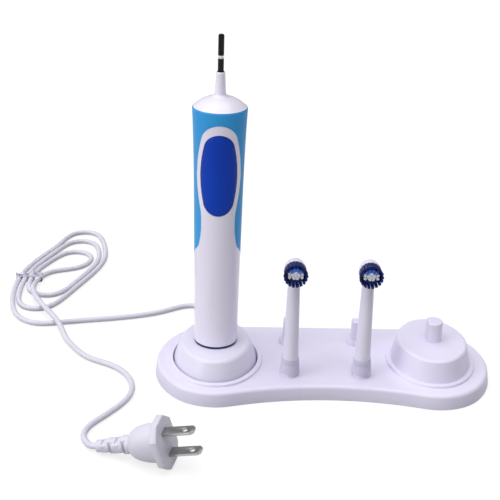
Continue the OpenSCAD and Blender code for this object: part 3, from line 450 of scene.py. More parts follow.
def make_cord():
    """Soft PVC lead as one curve, from the strain relief to inside the plug's relief."""
    into_plug = [tuple(plug_place() @ Vector((x - plug_l, 0, 0))) for x in (-4, 0, 5)]
    points = cord_points + into_plug
    curve = bpy.data.curves.new("cord", "CURVE")
    curve.dimensions = "3D"
    curve.bevel_depth = cord_r * MM
    curve.bevel_resolution = 5
    curve.use_fill_caps = True
    line = curve.splines.new("NURBS")
    line.points.add(len(points) - 1)
    for point, place in zip(line.points, points):
        point.co = (*[c * MM for c in place], 1)
    line.order_u = 4
    line.use_endpoint_u = True
    line.resolution_u = 6
    thing = bpy.data.objects.new("cord", curve)
    bpy.context.scene.collection.objects.link(thing)
    return thing


make_camera()
cord = make_cord()


# ---- Finishes ----

def linear(code):
    """An sRGB hex value as linear colour."""
    parts = [int(code[i:i + 2], 16) / 255 for i in (1, 3, 5)]
    return (*[p / 12.92 if p <= 0.04045 else ((p + 0.055) / 1.055) ** 2.4 for p in parts], 1)


def add(tree, kind, inputs=None, **settings):
    """Adds a shader node. An input takes a value, or the output that feeds it."""
    node = tree.nodes.new("ShaderNode" + kind)
    for name, value in settings.items():
        setattr(node, name, value)
    for name, value in (inputs or {}).items():
        if isinstance(value, bpy.types.NodeSocket):
            tree.links.new(value, node.inputs[name])
        else:
            node.inputs[name].default_value = value
    return node


def blank(name):
    """A new material with no nodes, and the object's own coordinates."""
    material = bpy.data.materials.new(name)
    material.use_nodes = True
    tree = material.node_tree
    tree.nodes.clear()
    return material, tree, add(tree, "TexCoord").outputs["Object"]


def shaded(tree, place, light, dark, size):
    """A colour that drifts between two tones over some millimetres."""
    cloud = add(tree, "TexNoise", {"Vector": place, "Scale": 1 / (size * MM), "Detail": 2})
    return cloud.outputs["Fac"], light, dark


def surface(tree, colour, rough, normal=None, **values):
    """The shader and the output. Plain values go on the shader's own sockets. A colour
    may be a pattern and the two tones that it mixes, and a roughness may be a pattern
    and the two ends of the range that it spreads over."""
    if isinstance(colour, tuple):
        pattern, first, second = colour
        colour = add(tree, "Mix", {0: pattern, 6: linear(first), 7: linear(second)},
                     data_type="RGBA").outputs[2]
    if isinstance(rough, tuple):
        pattern, first, second = rough
        rough = add(tree, "MapRange", {"Value": pattern, "To Min": first,
                                       "To Max": second}).outputs["Result"]
    inputs = {"Base Color": colour, "Roughness": rough}
    if normal is not None:
        inputs["Normal"] = normal
    inputs.update({key.replace("_", " "): value for key, value in values.items()})
    shader = add(tree, "BsdfPrincipled", inputs)
    add(tree, "OutputMaterial", {"Surface": shader.outputs["BSDF"]})


def moulded(name, light, dark, rough, grain, depth, **values):
    """Injection-moulded plastic: even colour, the mould's grain under the gloss, and
    very shallow waves where the wall has sunk. The grain is drawn several times as
    coarse as a real mould's, so that it shows."""
    material, tree, place = blank(name)
    fine = add(tree, "TexNoise", {"Vector": place, "Scale": 1 / (grain * MM), "Detail": 3})
    wave = add(tree, "TexNoise", {"Vector": place, "Scale": 1 / (14 * MM), "Detail": 1})
    sink = add(tree, "Bump", {"Height": wave.outputs["Fac"], "Strength": 0.25,
                              "Distance": 0.3 * MM})
    bump = add(tree, "Bump", {"Height": fine.outputs["Fac"], "Strength": 0.5,
                              "Distance": depth * MM, "Normal": sink.outputs["Normal"]})
    surface(tree, shaded(tree, place, light, dark, 30),
            (fine.outputs["Fac"], rough - 0.06, rough + 0.06), bump.outputs["Normal"],
            **values)
    return material


def pebbled(name, light, dark, rough, pebble, depth, **values):
    """Soft elastomer from a spark-eroded mould: small rounded pebbles, no clear gloss.
    The pebbles are drawn several times as wide as real ones, so that they show."""
    material, tree, place = blank(name)
    cells = add(tree, "TexVoronoi", {"Vector": place, "Scale": 1 / (pebble * MM)})
    bump = add(tree, "Bump", {"Height": cells.outputs["Distance"], "Strength": 0.4,
                              "Distance": depth * MM}, invert=True)
    surface(tree, shaded(tree, place, light, dark, 22),
            (cells.outputs["Distance"], rough - 0.05, rough + 0.08),
            bump.outputs["Normal"], **values)
    return material


def lined(name, light, dark, rough, pitch, depth, along):
    """Metal with fine lines left by turning, drawing or grinding, drawn coarser than
    real ones so that they show. A large number in along makes them narrow on its axis."""
    material, tree, place = blank(name)
    stretched = add(tree, "Mapping", {"Vector": place, "Scale": along})
    lines = add(tree, "TexNoise", {"Vector": stretched.outputs["Vector"],
                                   "Scale": 1 / (pitch * MM), "Detail": 2})
    bump = add(tree, "Bump", {"Height": lines.outputs["Fac"], "Strength": 0.3,
                              "Distance": depth * MM})
    surface(tree, (lines.outputs["Fac"], light, dark),
            (lines.outputs["Fac"], rough - 0.08, rough + 0.08), bump.outputs["Normal"],
            Metallic=1)
    return material


def wound(name, light, dark, pitch):
    """Enamelled copper wire in even turns, each ridge painted bright as a highlight and the
    hollows between painted dark as shade. The ridges come every six pitches, coarser than the
    wire, so that they show."""
    material, tree, place = blank(name)
    turns = add(tree, "TexWave", {"Vector": place, "Scale": 1 / (pitch * MM * 20),
                                  "Distortion": 0.2}, bands_direction="Z")
    bump = add(tree, "Bump", {"Height": turns.outputs["Fac"], "Distance": 0.1 * MM})
    # painted highlight on each ridge and painted shade in the hollows between turns
    surface(tree, (turns.outputs["Fac"], dark, light), (turns.outputs["Fac"], 0.4, 0.25),
            bump.outputs["Normal"], Metallic=0.9)
    return material


def laminate(name, light, dark, track):
    """Glass-fibre board under green solder mask, with the copper tracks showing through."""
    material, tree, place = blank(name)
    tracks = add(tree, "TexBrick", {"Vector": place, "Scale": 1 / (8 * MM),
                                    "Color1": linear(light), "Color2": linear(dark),
                                    "Mortar": linear("#3F8A5B"), "Mortar Size": track})
    bump = add(tree, "Bump", {"Height": tracks.outputs["Fac"], "Distance": 0.04 * MM})
    surface(tree, tracks.outputs["Color"], 0.35, bump.outputs["Normal"])
    return material


def filament(name, light, dark, **values):
    """Drawn nylon: glossy threads whose colour is painted darker towards the roots, as shade
    deep in the tuft, and paler towards the tips, as light, with a random unevenness.
    """
    material, tree, place = blank(name)
    depth = add(tree, "SeparateXYZ", {"Vector": place}).outputs["Y"]
    root = (head_y + disc_front - 0.3) * MM
    # painted shade and light: 0 at the roots deep in the tuft, 1 at the tips
    tips = add(tree, "MapRange", {"Value": depth, "From Min": root,
                                  "From Max": root - bristle_l * MM})
    tone = add(tree, "TexNoise", {"Vector": place, "Scale": 1 / (0.6 * MM)})
    uneven = add(tree, "MapRange", {"Value": tone.outputs["Fac"], "To Min": 0.6,
                                    "To Max": 1.1})
    paler = add(tree, "Math", {0: tips.outputs["Result"], 1: uneven.outputs["Result"]},
                operation="MULTIPLY")
    surface(tree, (paler.outputs["Value"], dark, light), (tone.outputs["Fac"], 0.28, 0.45),
            **values)
    return material


def shaft_painted_reflection_and_highlight(name):
    """Hardened steel, its colour nearly black as a painted dark reflection, with a painted
    bright highlight band at the groove that a head snaps into.
    """
    material, tree, place = blank(name)
    height = add(tree, "SeparateXYZ", {"Vector": place}).outputs["Z"]
    groove, groove_half = corners("drive_shaft")[1].z - 11.8, 0.8
    # painted highlight: a bright band of colour at the groove's height
    near = add(tree, "Math", {0: height, 1: groove * MM, 2: groove_half * MM},
               operation="COMPARE")
    stretched = add(tree, "Mapping", {"Vector": place, "Scale": (1, 1, 6)})
    rings = add(tree, "TexNoise", {"Vector": stretched.outputs["Vector"],
                                   "Scale": 1 / (0.9 * MM), "Detail": 2})
    # painted dark reflection: the steel's near-black tones
    painted_dark_reflection = add(tree, "Mix", {0: rings.outputs["Fac"], 6: linear("#1B181C"),
                              7: linear("#2C282D")}, data_type="RGBA")
    colour = add(tree, "Mix", {0: near.outputs["Value"], 6: painted_dark_reflection.outputs[2],
                               7: linear("#D9D6DC")}, data_type="RGBA")
    bump = add(tree, "Bump", {"Height": rings.outputs["Fac"], "Strength": 0.3,
                              "Distance": 0.02 * MM})
    surface(tree, colour.outputs[2], (rings.outputs["Fac"], 0.26, 0.42),
            bump.outputs["Normal"], Metallic=0.85)
    return material


# What each real finish gives the eye.
finishes = {
    # satin ABS: cool white with a slight violet cast and a broad soft highlight
    "stand_plastic": moulded("ABS_satin_moulded", "#E8E3F8", "#E4DFF5", 0.42, 0.5, 0.02),
    # the charger's ABS is the same, a little glossier from a polished mould
    "charger_plastic": moulded("ABS_polished_mould", "#EAE6F8", "#E6E2F5", 0.34, 0.5, 0.015),
    # glass-filled nylon former: cream, dull
    "former_plastic": moulded("nylon_glass_filled", "#D8D2C2", "#CDC6B4", 0.6, 0.4, 0.03),
    # enamelled copper: reddish brown, with a painted highlight along each turn and painted
    # shade between turns
    "copper_wire": wound("copper_enamelled_wound", "#C9824A", "#7A4520", 0.35),
    # sintered ferrite: dark grey, dull, slightly speckled
    "ferrite": moulded("ferrite_sintered", "#434347", "#333337", 0.7, 0.3, 0.05),
    # glass epoxy under solder mask: green, with paler tracks 0.3 mm wide
    "circuit_board": laminate("glass_epoxy_solder_mask", "#2F6B45", "#2A6240", 0.04),
    # phenolic cases of the small components: dark and dull
    "component_case": moulded("phenolic_moulded", "#2E2E36", "#26262C", 0.55, 0.3, 0.03),
    # soft PVC: white with a grey cast, slightly waxy
    "cord_jacket": moulded("PVC_soft_extruded", "#DEDBE9", "#D8D5E4", 0.46, 0.6, 0.03),
    # nickel on brass: grey-white metal with faint lines
    "blade_metal": lined("brass_nickel_plated", "#C2C1C1", "#A2A1A2", 0.3, 0.5, 0.02,
                         (1, 6, 1)),
    # the handle's ABS is the glossiest of the whites
    "handle_plastic": moulded("ABS_gloss_moulded", "#F2EDFE", "#EEE9FB", 0.24, 0.6, 0.008,
                              Coat_Weight=0.3, Coat_Roughness=0.12),
    # the grip's TPE: sky blue and dull
    "grip_rubber": pebbled("TPE_overmoulded", "#36A6EC", "#309CE0", 0.46, 0.55, 0.04,
                           Specular_IOR_Level=0.3),
    # nitrile: nearly black, dull
    "seal_rubber": pebbled("nitrile_moulded", "#2B2B30", "#242428", 0.6, 0.4, 0.03),
    # the base's ABS: dark navy with a soft gloss
    "navy_plastic": moulded("ABS_navy_moulded", "#17215E", "#131C52", 0.3, 0.5, 0.01),
    # uncoloured ABS: pale grey, half dull
    "chassis_plastic": moulded("ABS_natural_moulded", "#C9CCD6", "#C0C3CE", 0.5, 0.4, 0.03),
    # shrink sleeve: thin green film, glossy
    "battery_wrap": moulded("PVC_shrink_sleeve", "#3F7F5A", "#3A7553", 0.22, 0.8, 0.02),
    # stamped brass: yellow, with the lines of rolling
    "contact_metal": lined("brass_stamped", "#CDB873", "#B29A52", 0.32, 0.4, 0.02,
                           (1, 1, 4)),
    # the button's TPE: deep blue, duller than the grip
    "button_rubber": pebbled("TPE_button_moulded", "#0040BE", "#003AB0", 0.42, 0.5, 0.03,
                             Specular_IOR_Level=0.2),
    # zinc on drawn steel: bluish grey, with lines along the draw
    "motor_steel": lined("steel_zinc_drawn", "#B4B6BC", "#94969D", 0.3, 0.6, 0.02,
                         (4, 4, 0.4)),
    # steel: nearly black as a painted dark reflection, with one painted bright highlight band
    # at the groove
    "shaft_steel": shaft_painted_reflection_and_highlight("steel_painted_dark_reflection_and_highlight"),
    # acetal: cream, with a waxy gloss
    "gear_plastic": moulded("acetal_moulded", "#E8E2D0", "#DED7C3", 0.4, 0.3, 0.02),
    # sintered bronze: brownish gold, dulled by its pores
    "bushing_bronze": lined("bronze_sintered", "#BD9250", "#9A7336", 0.45, 0.3, 0.04,
                            (1, 1, 3)),
    # the brush tubes' POM: glossy white that lets a little light in
    "head_plastic": moulded("POM_gloss_moulded", "#E9E5F7", "#E4E0F2", 0.28, 0.5, 0.01,
                            Subsurface_Weight=0.05, Subsurface_Radius=(0.001,) * 3),
    # the collar rings' PP: satin white, a shade greyer than the tubes
    "ring_plastic": moulded("PP_satin_moulded", "#D0CBE2", "#C9C4DA", 0.4, 0.4, 0.02),
    # uncoloured POM: grey, satin
    "link_plastic": moulded("POM_natural_moulded", "#B9BBC6", "#AFB1BD", 0.4, 0.3, 0.02),
    # nylon threads: painted shade darkens them towards the roots and painted light makes the
    # tips paler, unevenly, so each tuft looks speckled
    "bristle_navy": filament("nylon_navy_drawn", "#1B2F8A", "#0C1850"),
    "bristle_blue": filament("nylon_blue_drawn", "#6498FF", "#3A6AD8"),
    "bristle_white": filament("nylon_clear_drawn", "#FEFEFF", "#CEDBFF",
                              Subsurface_Weight=0.1, Subsurface_Radius=(0.0006,) * 3),
}

# Each solid gets its finish too, the works inside as well.
for part in frame["record"]["subparts"]:
    solid_mesh = frame["nodes"][part["node"]].data
    solid_mesh.materials.clear()
    solid_mesh.materials.append(finishes[part["material_slot"]])


# ---- Stand ----

def make_rim(oval_size):
    """The raised edge round a dock, with a tight fillet at its foot and a round top."""
    foot_r, top_r = 0.25, 0.6
    levels = [(rim_w + foot_r, deck_z - 1)]
    levels += [(rim_w + g, z) for g, z in fillet(foot_r, deck_z - 0.02, 3)]
    levels += quarter(rim_w - top_r, rim_z - top_r, top_r)
    return stack(lambda g: oval(oval_size, g), levels)


def make_dome():
    """The closed dock: the rim's inner groove, a leaning side and a round shoulder."""
    levels = [(0, deck_z - 1), (0, rim_z + 0.4)]
    levels += edge(rim_z, dome_top, dome_lean, 1.8)
    return stack(lambda g: oval(dome_oval, g), levels)


def make_post():
    """D-shaped post that a handle stands on, from its foot's fillet to its top."""
    foot_r, top_r = 0.9, 0.7
    levels = [(foot_r, -1)] + fillet(foot_r, -0.02)
    levels += quarter(-top_r, post_h - top_r, top_r, 6)
    return stack(lambda g: d_outline(post_r, post_flat, g), levels)


def make_peg():
    """Peg for a spare brush head, on its conical collar."""
    taper, top_r = 0.25, 0.6
    levels = [(0, 0), (0, collar_h)] + quarter(-top_r - taper, peg_h - top_r, top_r)
    return stack(lambda g: d_outline(peg_r, peg_flat, g), levels)


def make_collar():
    """Cone round a peg's foot, with a fillet on the deck."""
    foot_r = 0.6
    foot = [(collar_r + g, z) for g, z in fillet(foot_r, -0.02)]
    side = [(peg_r + 0.3, collar_h - 0.25), (peg_r + 0.1, collar_h)]
    return lathe([(0, -1), (collar_r + foot_r, -1)] + foot + side + [(0, collar_h)], 64)


def make_tabs():
    """Two tabs below the charger's hole, whose beads carry the charger."""
    tab_t, tab_low, tab_half_w, bead, bead_top = 1.6, 0.6, 9, 1.7, 2
    return as_shape(made(
        prism(oval(hole_oval, tab_t), tab_low, deck_z - wall + 0.5),
        cut=[prism(oval(hole_oval), bead_top, deck_z),
             prism(oval(hole_oval, -bead), 0, deck_z)],
        keep=[box((-60, -tab_half_w, 0), (60, tab_half_w, deck_z))]))


def make_stand():
    """One moulding: deck and skirt, two rims, the dome with its post, and four pegs."""
    foot = [(skirt_flare - 0.4, 0), (skirt_flare - 0.1, 0.12), (skirt_flare, 0.45)]
    body = stack(stand_outline, foot + quarter(0, deck_z - edge_r, edge_r, 8))
    post = move(make_post(), at(dock, 0, dome_top))
    pegs = [move(shape, at(x, y, deck_z)) for x in (-peg_x, peg_x)
            for y in (peg_front, peg_back) for shape in (make_collar(), make_peg())]
    notch_r = 2.36
    inside = [c - wall for c in dome_oval]
    hollow = [(0, deck_z - 1), (0, rim_z)]
    hollow += edge(rim_z, dome_top - wall, dome_lean, 1)
    stand = made(
        body,
        add=[move(make_rim(hole_oval), at(-dock, 0)), move(make_rim(dome_oval), at(dock, 0)),
             move(make_dome(), at(dock, 0)), post, *pegs],
        cut=[prism(stand_outline(edge_r - wall), -1, deck_z - wall),
             move(prism(oval(hole_oval), 0, rim_z + 1), at(-dock, 0)),
             move(prism(oval(inside), -1, deck_z - 0.5), at(dock, 0)),
             move(stack(lambda g: oval(inside, g), hollow), at(dock, 0)),
             box((-dock - notch_r, deck_oval[1] - 0.5, -1),
                 (-dock + notch_r, deck_oval[1] + 6, gland_z + notch_r))])
    shape_with(stand, "UNION", move(make_tabs(), at(-dock, 0)))
    fit(stand, "stand", "stand", "stand_plastic", ["stand_tray"])


# ---- Charger ----

def make_charger():
    """Hollow housing with a leaning side and the post that the handle stands on."""
    levels = [(-0.5, charger_foot), (-0.15, charger_foot + 0.15), (0, charger_foot + 0.5),
              (0, rim_z - 0.6)]
    levels += edge(rim_z - 0.4, charger_top, charger_lean, 2.6, 12)
    inner = [c - charger_wall for c in charger_oval]
    room = [(0, charger_foot - 1), (0, rim_z)]
    room += edge(rim_z, charger_top - charger_wall, charger_lean, 1.7)
    core_r, core_top = 2.6, charger_top + post_h - 1.2
    exit_r = 2.33
    charger = made(
        stack(lambda g: oval(charger_oval, g), levels),
        add=[move(make_post(), at(0, 0, charger_top))],
        cut=[stack(lambda g: oval(inner, g), room), rod(core_r, 10, core_top, 48),
             move(rod(exit_r, 0, 60, 48), at(0, 0, gland_z), turn(-math.pi / 2, "X"))])
    shift(charger, -dock, 0, 0)
    fit(charger, "charger", "stand", "charger_plastic", ["charger_housing"])


def make_strain_relief():
    """Grooved taper where the lead leaves the charger."""
    start, flange_r, root_r, taper = -3.2, 2.45, 2.25, 0.35
    groove, ribs = 0.3, 7
    profile = [(0, start), (flange_r, start), (flange_r, start + 1.2), (root_r, start + 1.2),
               (root_r, 0)]
    for i in range(ribs):
        z = 1.5 + i * (gland_l - 2) / ribs
        r = root_r - taper * z / gland_l
        profile += [(r, z), (r - groove, z + 0.25), (r - groove, z + 0.85), (r, z + 1.1)]
    profile += [(1.9, gland_l - 0.3), (1.75, gland_l), (0, gland_l)]
    relief = solid(move(lathe(profile, 48), at(-dock, charger_oval[1], gland_z),
                        turn(-math.pi / 2, "X")))
    return fit(relief, "cord_strain_relief", "stand", "cord_jacket", ["cord_gland"])


# ---- Handle ----

def handle_r(h):
    """The handle widens slowly, and faster near its shoulder."""
    return 12.35 + 1.3 * h / handle_h + 1.15 * (h / handle_h) ** 5


def handle_body(inset=0, low_h=1.2, high_h=handle_h):
    """The handle's outside as a turned solid, with a small round at the shoulder."""
    foot, shoulder = 0.25, 0.6
    heights = [low_h + foot + (high_h - shoulder - low_h - foot) * i / 48 for i in range(49)]
    profile = [(0, low_h), (handle_r(low_h) - inset - foot, low_h)]
    profile += [(handle_r(h) - inset, h) for h in heights]
    top_r = handle_r(high_h - shoulder) - inset
    profile += quarter(top_r - shoulder, high_h - shoulder, shoulder)[1:]
    return lathe(profile + [(0, high_h)], 144)


def half_width(size, h):
    """Half of an oval's width at a height above its centre."""
    a, b, end = size
    side, half = side_arc(size)
    rise = abs(h)
    join = (b - end) + end * math.sin(half)
    if rise <= join:
        return a - side + math.sqrt(side * side - rise * rise)
    return math.sqrt(max(end * end - (rise - b + end) ** 2, 0))


def white_half(h):
    """Half of the white front's width, at a height above the handle's base."""
    flare_h = 21
    waist_low = grip_side + flare_h
    reach = handle_r(grip_side) + 0.1 - waist_half
    curve = (flare_h * flare_h + reach * reach) / (2 * reach)
    if h < waist_low:
        return waist_half + curve - math.sqrt(curve * curve - (waist_low - h) ** 2)
    above = h - frame_h
    frame_half = half_width(frame_oval, above) if abs(above) < frame_oval[1] else 0
    if above > 0:
        return frame_half
    blend = 1.2
    gap = frame_half - waist_half
    return (frame_half + waist_half + math.sqrt(gap * gap + blend * blend)) / 2


def grip_space():
    """Room of the soft grip: above a slanted plane, outside the white front."""
    top = frame_h + frame_oval[1]
    count, far = 90, 40
    # the heights lie closer together towards the round top
    heights = [grip_side + (top - grip_side) * (1 - (1 - i / count) ** 1.6)
               for i in range(count + 1)]
    right = [(white_half(h), h) for h in heights]
    outline = ([(-far, grip_side), (-far, -5), (far, -5), (far, grip_side)] + right
               + [(-x, h) for x, h in reversed(right[:-1])])
    front = move(prism(outline, 2, far), turn(math.pi / 2, "X"))
    slant = math.atan2(grip_side - grip_low, handle_r(grip_side))
    above = move(box((-60, -300, 0), (60, 300, 300)), at(0, 0, grip_side),
                 turn(-slant, "X"))
    return as_shape(made(above, cut=[handle_body(grip_t, -1, handle_h + 2), front]))


def make_handle():
    """The white tube with the grip's recess and the button's opening, and the grip."""
    space = grip_space()
    gap, proud = 0.25, 0.06
    opening = [(x, h + button_h) for x, h in oval(button_oval, gap)]
    shell = made(handle_body(), cut=[rod(bore_r, -2, handle_h + 2, 96), space,
                                     move(prism(opening, 4, 30), turn(math.pi / 2, "X"))])
    soften(shell, 0.15, 50)
    shift(shell, -dock, 0, handle_z)
    fit(shell, "handle_shell_white", "handle", "handle_plastic", ["handle_shell"])
    grip = made(handle_body(-proud), keep=[space])
    soften(grip, 0.18, 50)
    shift(grip, -dock, 0, handle_z)
    fit(grip, "grip_soft", "handle", "grip_rubber", ["grip_overmold"])


def make_button():
    """Oval button that follows the handle's round, with a soft edge and a low crown."""
    outline = oval(button_oval, 0, 3)
    # rings as a share of the outline, and how far they stand out from the handle
    front = [(0.001, 0.75), (0.3, 0.72), (0.55, 0.65), (0.75, 0.55), (0.88, 0.45),
             (0.94, 0.38), (0.97, 0.28), (0.99, 0.1), (1, -0.25)]
    back = [(1, -1.6), (0.95, -1.8), (0.5, -1.8), (0.25, -1.8), (0.001, -1.8)]
    rings = [[(k * x, -(math.sqrt(handle_r(k * h + button_h) ** 2 - (k * x) ** 2) + rise),
               k * h + button_h) for x, h in outline] for k, rise in front + back]
    button = solid(loft(rings, caps=False))
    shift(button, -dock, 0, handle_z)
    fit(button, "button_soft", "button", "button_rubber", ["power_button"])


def make_nose():
    """White nose: a low dome with a round edge, a fillet and the neck round the shaft."""
    base, neck, top = handle_h, handle_h + nose_h, handle_h + nose_h + neck_h
    dome_r = handle_r(handle_h) - 0.35
    curve = (dome_r ** 2 + nose_h ** 2) / (2 * nose_h)
    dome = [(r, neck - curve + math.sqrt(curve ** 2 - r * r))
            for r in [dome_r - 0.15 - (dome_r - 5) * i / 22 for i in range(23)]]
    hole, pocket, skirt = 2.05, 3.2, 5.2
    flank = [(4.5, neck - 0.25), (3.75, neck + 0.25), (3.3, neck + 0.7), (3.05, neck + 1.3),
             (2.95, neck + 2.2), (2.45, top - 1), (2.35, top - 0.35), (2.15, top - 0.05),
             (hole, top)]
    seat = bore_r - 0.08
    groove = seat - 0.82
    profile = [(skirt, base - 7), (seat - 0.3, base - 7), (seat, base - 6.7),
               (seat, base - 5), (groove, base - 5), (groove, base - 3.4),
               (seat, base - 3.4), (seat, base + 0.02), (dome_r - 0.3, base + 0.02),
               (dome_r, base + 0.2)]
    profile += dome[1:] + flank
    profile += [(hole, base), (hole, base + 1), (pocket, base + 1), (pocket, base - 5),
                (skirt, base - 5)]
    nose = solid(move(lathe(profile, 144, closed=True), at(-dock, 0, handle_z)))
    fit(nose, "nose_white", "handle", "handle_plastic", ["nose_cap"])


# ---- Brush heads ----

def make_tube(side):
    """Hollow brush tube with its cup, drawn in gently above the collar ring."""
    mouth, foot, low, taper, high, narrowing = 4.35, 4.55, 4.6, 1.1, 3.5, 0.8
    steps = [i / 20 for i in range(21)]
    profile = [(0, 0), (mouth, 0), (foot, 0.2), (foot, ring_h)]
    profile += [(low - taper * s ** 0.85, ring_h + (tube_h - ring_h) * s) for s in steps]
    profile += [(high - narrowing * (1 - math.cos(math.pi / 2 * s)),
                 tube_h + (disc_h - tube_h) * s) for s in steps[1:]]
    profile += [(0, disc_h)]
    cup = lathe([(0, 0), (cup_r, 0)] + quarter(cup_r - 1, cup_t - 1, 1) + [(0, cup_t)], 72)
    in_cup = (at(0, cup_back, disc_h), turn(-math.pi / 2, "X"))
    socket_r, link_r, pin_r = 3.9, 2.5, 1.4
    front = disc_back + 0.15
    tube = made(
        lathe(profile, 72),
        add=[move(cup, *in_cup)],
        cut=[lathe([(0, -0.01), (mouth, -0.01), (socket_r, 1.4), (socket_r, 14.5), (0, 14.5)],
                   48),
             lathe([(0, 14), (link_r, 14), (link_r, tube_h - 2), (pin_r, tube_h - 2),
                    (pin_r, disc_h), (0, disc_h)], 32),
             move(rod(cup_r - 1, -1, 2.4, 48), *in_cup),
             box((-25, front - 15, disc_h - disc_r - 0.4), (25, front, 90))])
    shift(tube, head_x[side], head_y, head_z)
    fit(tube, "brush_tube_" + side, "head_" + side, "head_plastic", ["head_tube_" + side])


def make_ring(side):
    """Collar ring at the tube's foot: flared, with a step below its top edge."""
    profile = [(4.6, 0), (5.5, 0), (5.68, 0.25), (5.62, 1.4), (5.45, 3.4), (5.25, 5.4),
               (5.16, 5.6), (5.16, 6), (5.22, 6.15), (5.02, 8.7), (4.92, 9.05), (4.62, 9.1)]
    ring = solid(move(lathe(profile, 72, closed=True), at(head_x[side], head_y, head_z)))
    fit(ring, "brush_ring_" + side, "head_" + side, "ring_plastic", ["head_ring_" + side])


def make_disc(side):
    """Round carrier of the tufts, with the pin that it turns on."""
    edge_x, round_r, pin_r, pin_l = disc_r - 0.5, 0.5, 0.8, 3.5
    profile = [(0, 0), (edge_x, 0)] + quarter(edge_x, round_r, round_r, 5, -math.pi / 2)
    profile += quarter(edge_x, disc_t - round_r, round_r) + [(0, disc_t)]
    disc = made(lathe(profile, 72), add=[rod(pin_r, -pin_l, 0.4, 24)])
    shift(disc, head_x[side], head_y + disc_back, head_z + disc_h, turn(math.pi / 2, "X"))
    fit(disc, "brush_disc_round_" + side, "disc_" + side, "head_plastic",
        ["brush_disc_" + side])


def tuft(x, y, wide, deep, angle, length, chance, splay=0, peaks=()):
    """Filaments that fill an oval of half-widths wide and deep. They are 0.26 mm thick,
    coarser than the real 0.15 mm, so that they show. Splay leans the tips outward; away
    from the peaks they are shorter."""
    apart, row = 0.27, 0.235
    peak_r, valley, sway = 0.78, 0.9, 0.1
    shapes = []
    rows = int(deep / row) + 1
    columns = int(wide / apart) + 1
    for i in range(-rows, rows + 1):
        for j in range(-columns, columns + 1):
            u, v = (j + 0.5 * (i % 2)) * apart, i * row
            if (u / (wide - filament_r)) ** 2 + (v / (deep - filament_r)) ** 2 > 1:
                continue
            near = any(math.hypot(u - a, v - b) <= peak_r for a, b in peaks)
            shorter = valley if peaks and not near else 0
            lean_x = splay * x / 5 + chance.uniform(-sway, sway)
            lean_y = splay * y / 5 + chance.uniform(-sway, sway)
            long = length - shorter + chance.uniform(-0.15, 0.1)
            rings = []
            for z, r in ((-0.3, 1), (long * 0.6, 1), (long - 0.08, 1), (long, 0.65)):
                bend = (max(z, 0) / long) ** 2
                px = x + u * math.cos(angle) - v * math.sin(angle) + lean_x * bend
                py = y + u * math.sin(angle) + v * math.cos(angle) + lean_y * bend
                rings.append([(px + filament_r * r * math.cos(t),
                               py + filament_r * r * math.sin(t), z)
                              for t in [math.pi / 3 * k for k in range(6)]])
            shapes.append(loft(rings))
    return both(*shapes)


def make_bristles(side):
    """A navy outer ring and foot lobe, a mid-blue arc above, pale sides and a white
    centre with five peaks round a sixth."""
    chance = random.Random(side)
    rim_r = disc_r - 0.87
    rim = []
    for i in range(18):
        angle = math.radians(-80 + 20 * i)
        rim.append(tuft(rim_r * math.cos(angle), rim_r * math.sin(angle), 0.95, 0.8,
                        angle + math.pi / 2, bristle_l, chance, 0.7))
    mid_r = rim_r - 1.94
    arcs = {"navy": [], "blue": [], "pale": []}
    for i in range(12):
        degrees = 15 + 30 * i
        angle = math.radians(degrees)
        kind = "blue" if 30 < degrees < 150 else "navy" if 220 < degrees < 320 else "pale"
        arcs[kind].append(tuft(mid_r * math.cos(angle), mid_r * math.sin(angle), 0.92, 0.86,
                               angle + math.pi / 2, bristle_l - 0.3, chance))
    core_r, peak_ring = 2.6, 1.65
    angles = [math.radians(90 + 72 * i) for i in range(5)]
    peaks = [(0, 0)] + [(peak_ring * math.cos(t), peak_ring * math.sin(t)) for t in angles]
    core = [tuft(0, 0, core_r, core_r, 0, bristle_l, chance, peaks=peaks)]
    place = [at(head_x[side], head_y + disc_front, head_z + disc_h), turn(math.pi / 2, "X")]
    for colour, tufts, node in (("navy", rim + arcs["navy"], "rim"),
                                ("blue", arcs["blue"], "mid"),
                                ("white", core + arcs["pale"], "core")):
        fit(solid(move(both(*tufts), *place)), f"bristles_{colour}_{side}", "disc_" + side,
            "bristle_" + colour, [f"bristles_{node}_{side}"])


# ---- Plug: X runs along the blades, Z across them ----

def set_on_plug(thing):
    """Moves a mesh from the plug's own axes to where the plug lies."""
    thing.data.transform(Matrix.Scale(MM, 4) @ plug_place() @ Matrix.Scale(1 / MM, 4))


def flange_outline(grow):
    """A rectangle with cut corners, seen along the blades."""
    y, z, c = flange_half[0] + grow, flange_half[1] + grow, flange_cut + 0.6 * grow
    return [(y - c, -z), (y, c - z), (y, z - c), (y - c, z), (c - y, z), (-y, z - c),
            (-y, c - z), (c - y, -z)]


def make_plug():
    """Moulded body that swells towards a flange with cut corners and two slots."""
    # (x, half-width, half-height) along the body
    bulb = [(-20, 4.6, 4.6), (-19.7, 5.4, 5.6), (-19, 6.3, 6.8), (-17.5, 7.2, 8),
            (-15.5, 7.9, 9.1), (-13, 8.4, 9.9), (-10.5, 8.7, 10.5), (-8, 8.8, 10.8),
            (-5.5, 8.9, 11), (-3, 8.9, 11.1)]
    turns = [2 * math.pi * i / 48 for i in range(48)]
    body = loft([[(x, y * math.cos(t), z * math.sin(t)) for t in turns] for x, y, z in bulb])
    levels = [(-0.9, -4), (-0.25, -3.8), (0, -3.3), (0, -0.7), (-0.3, -0.15), (-1, 0)]
    flange = loft([[(x, y, z) for y, z in flange_outline(grow)] for grow, x in levels])
    slot_y, slot_z = blade_half_w + 0.08, blade_half_t + 0.08
    slots = [box((-10, -slot_y, z - slot_z), (1, slot_y, z + slot_z))
             for z in (-blade_z, blade_z)]
    plug = made(body, add=[flange], cut=slots)
    soften(plug, 0.2, 30)
    set_on_plug(plug)
    return fit(plug, "plug_moulded", "stand", "cord_jacket", ["plug_body"])


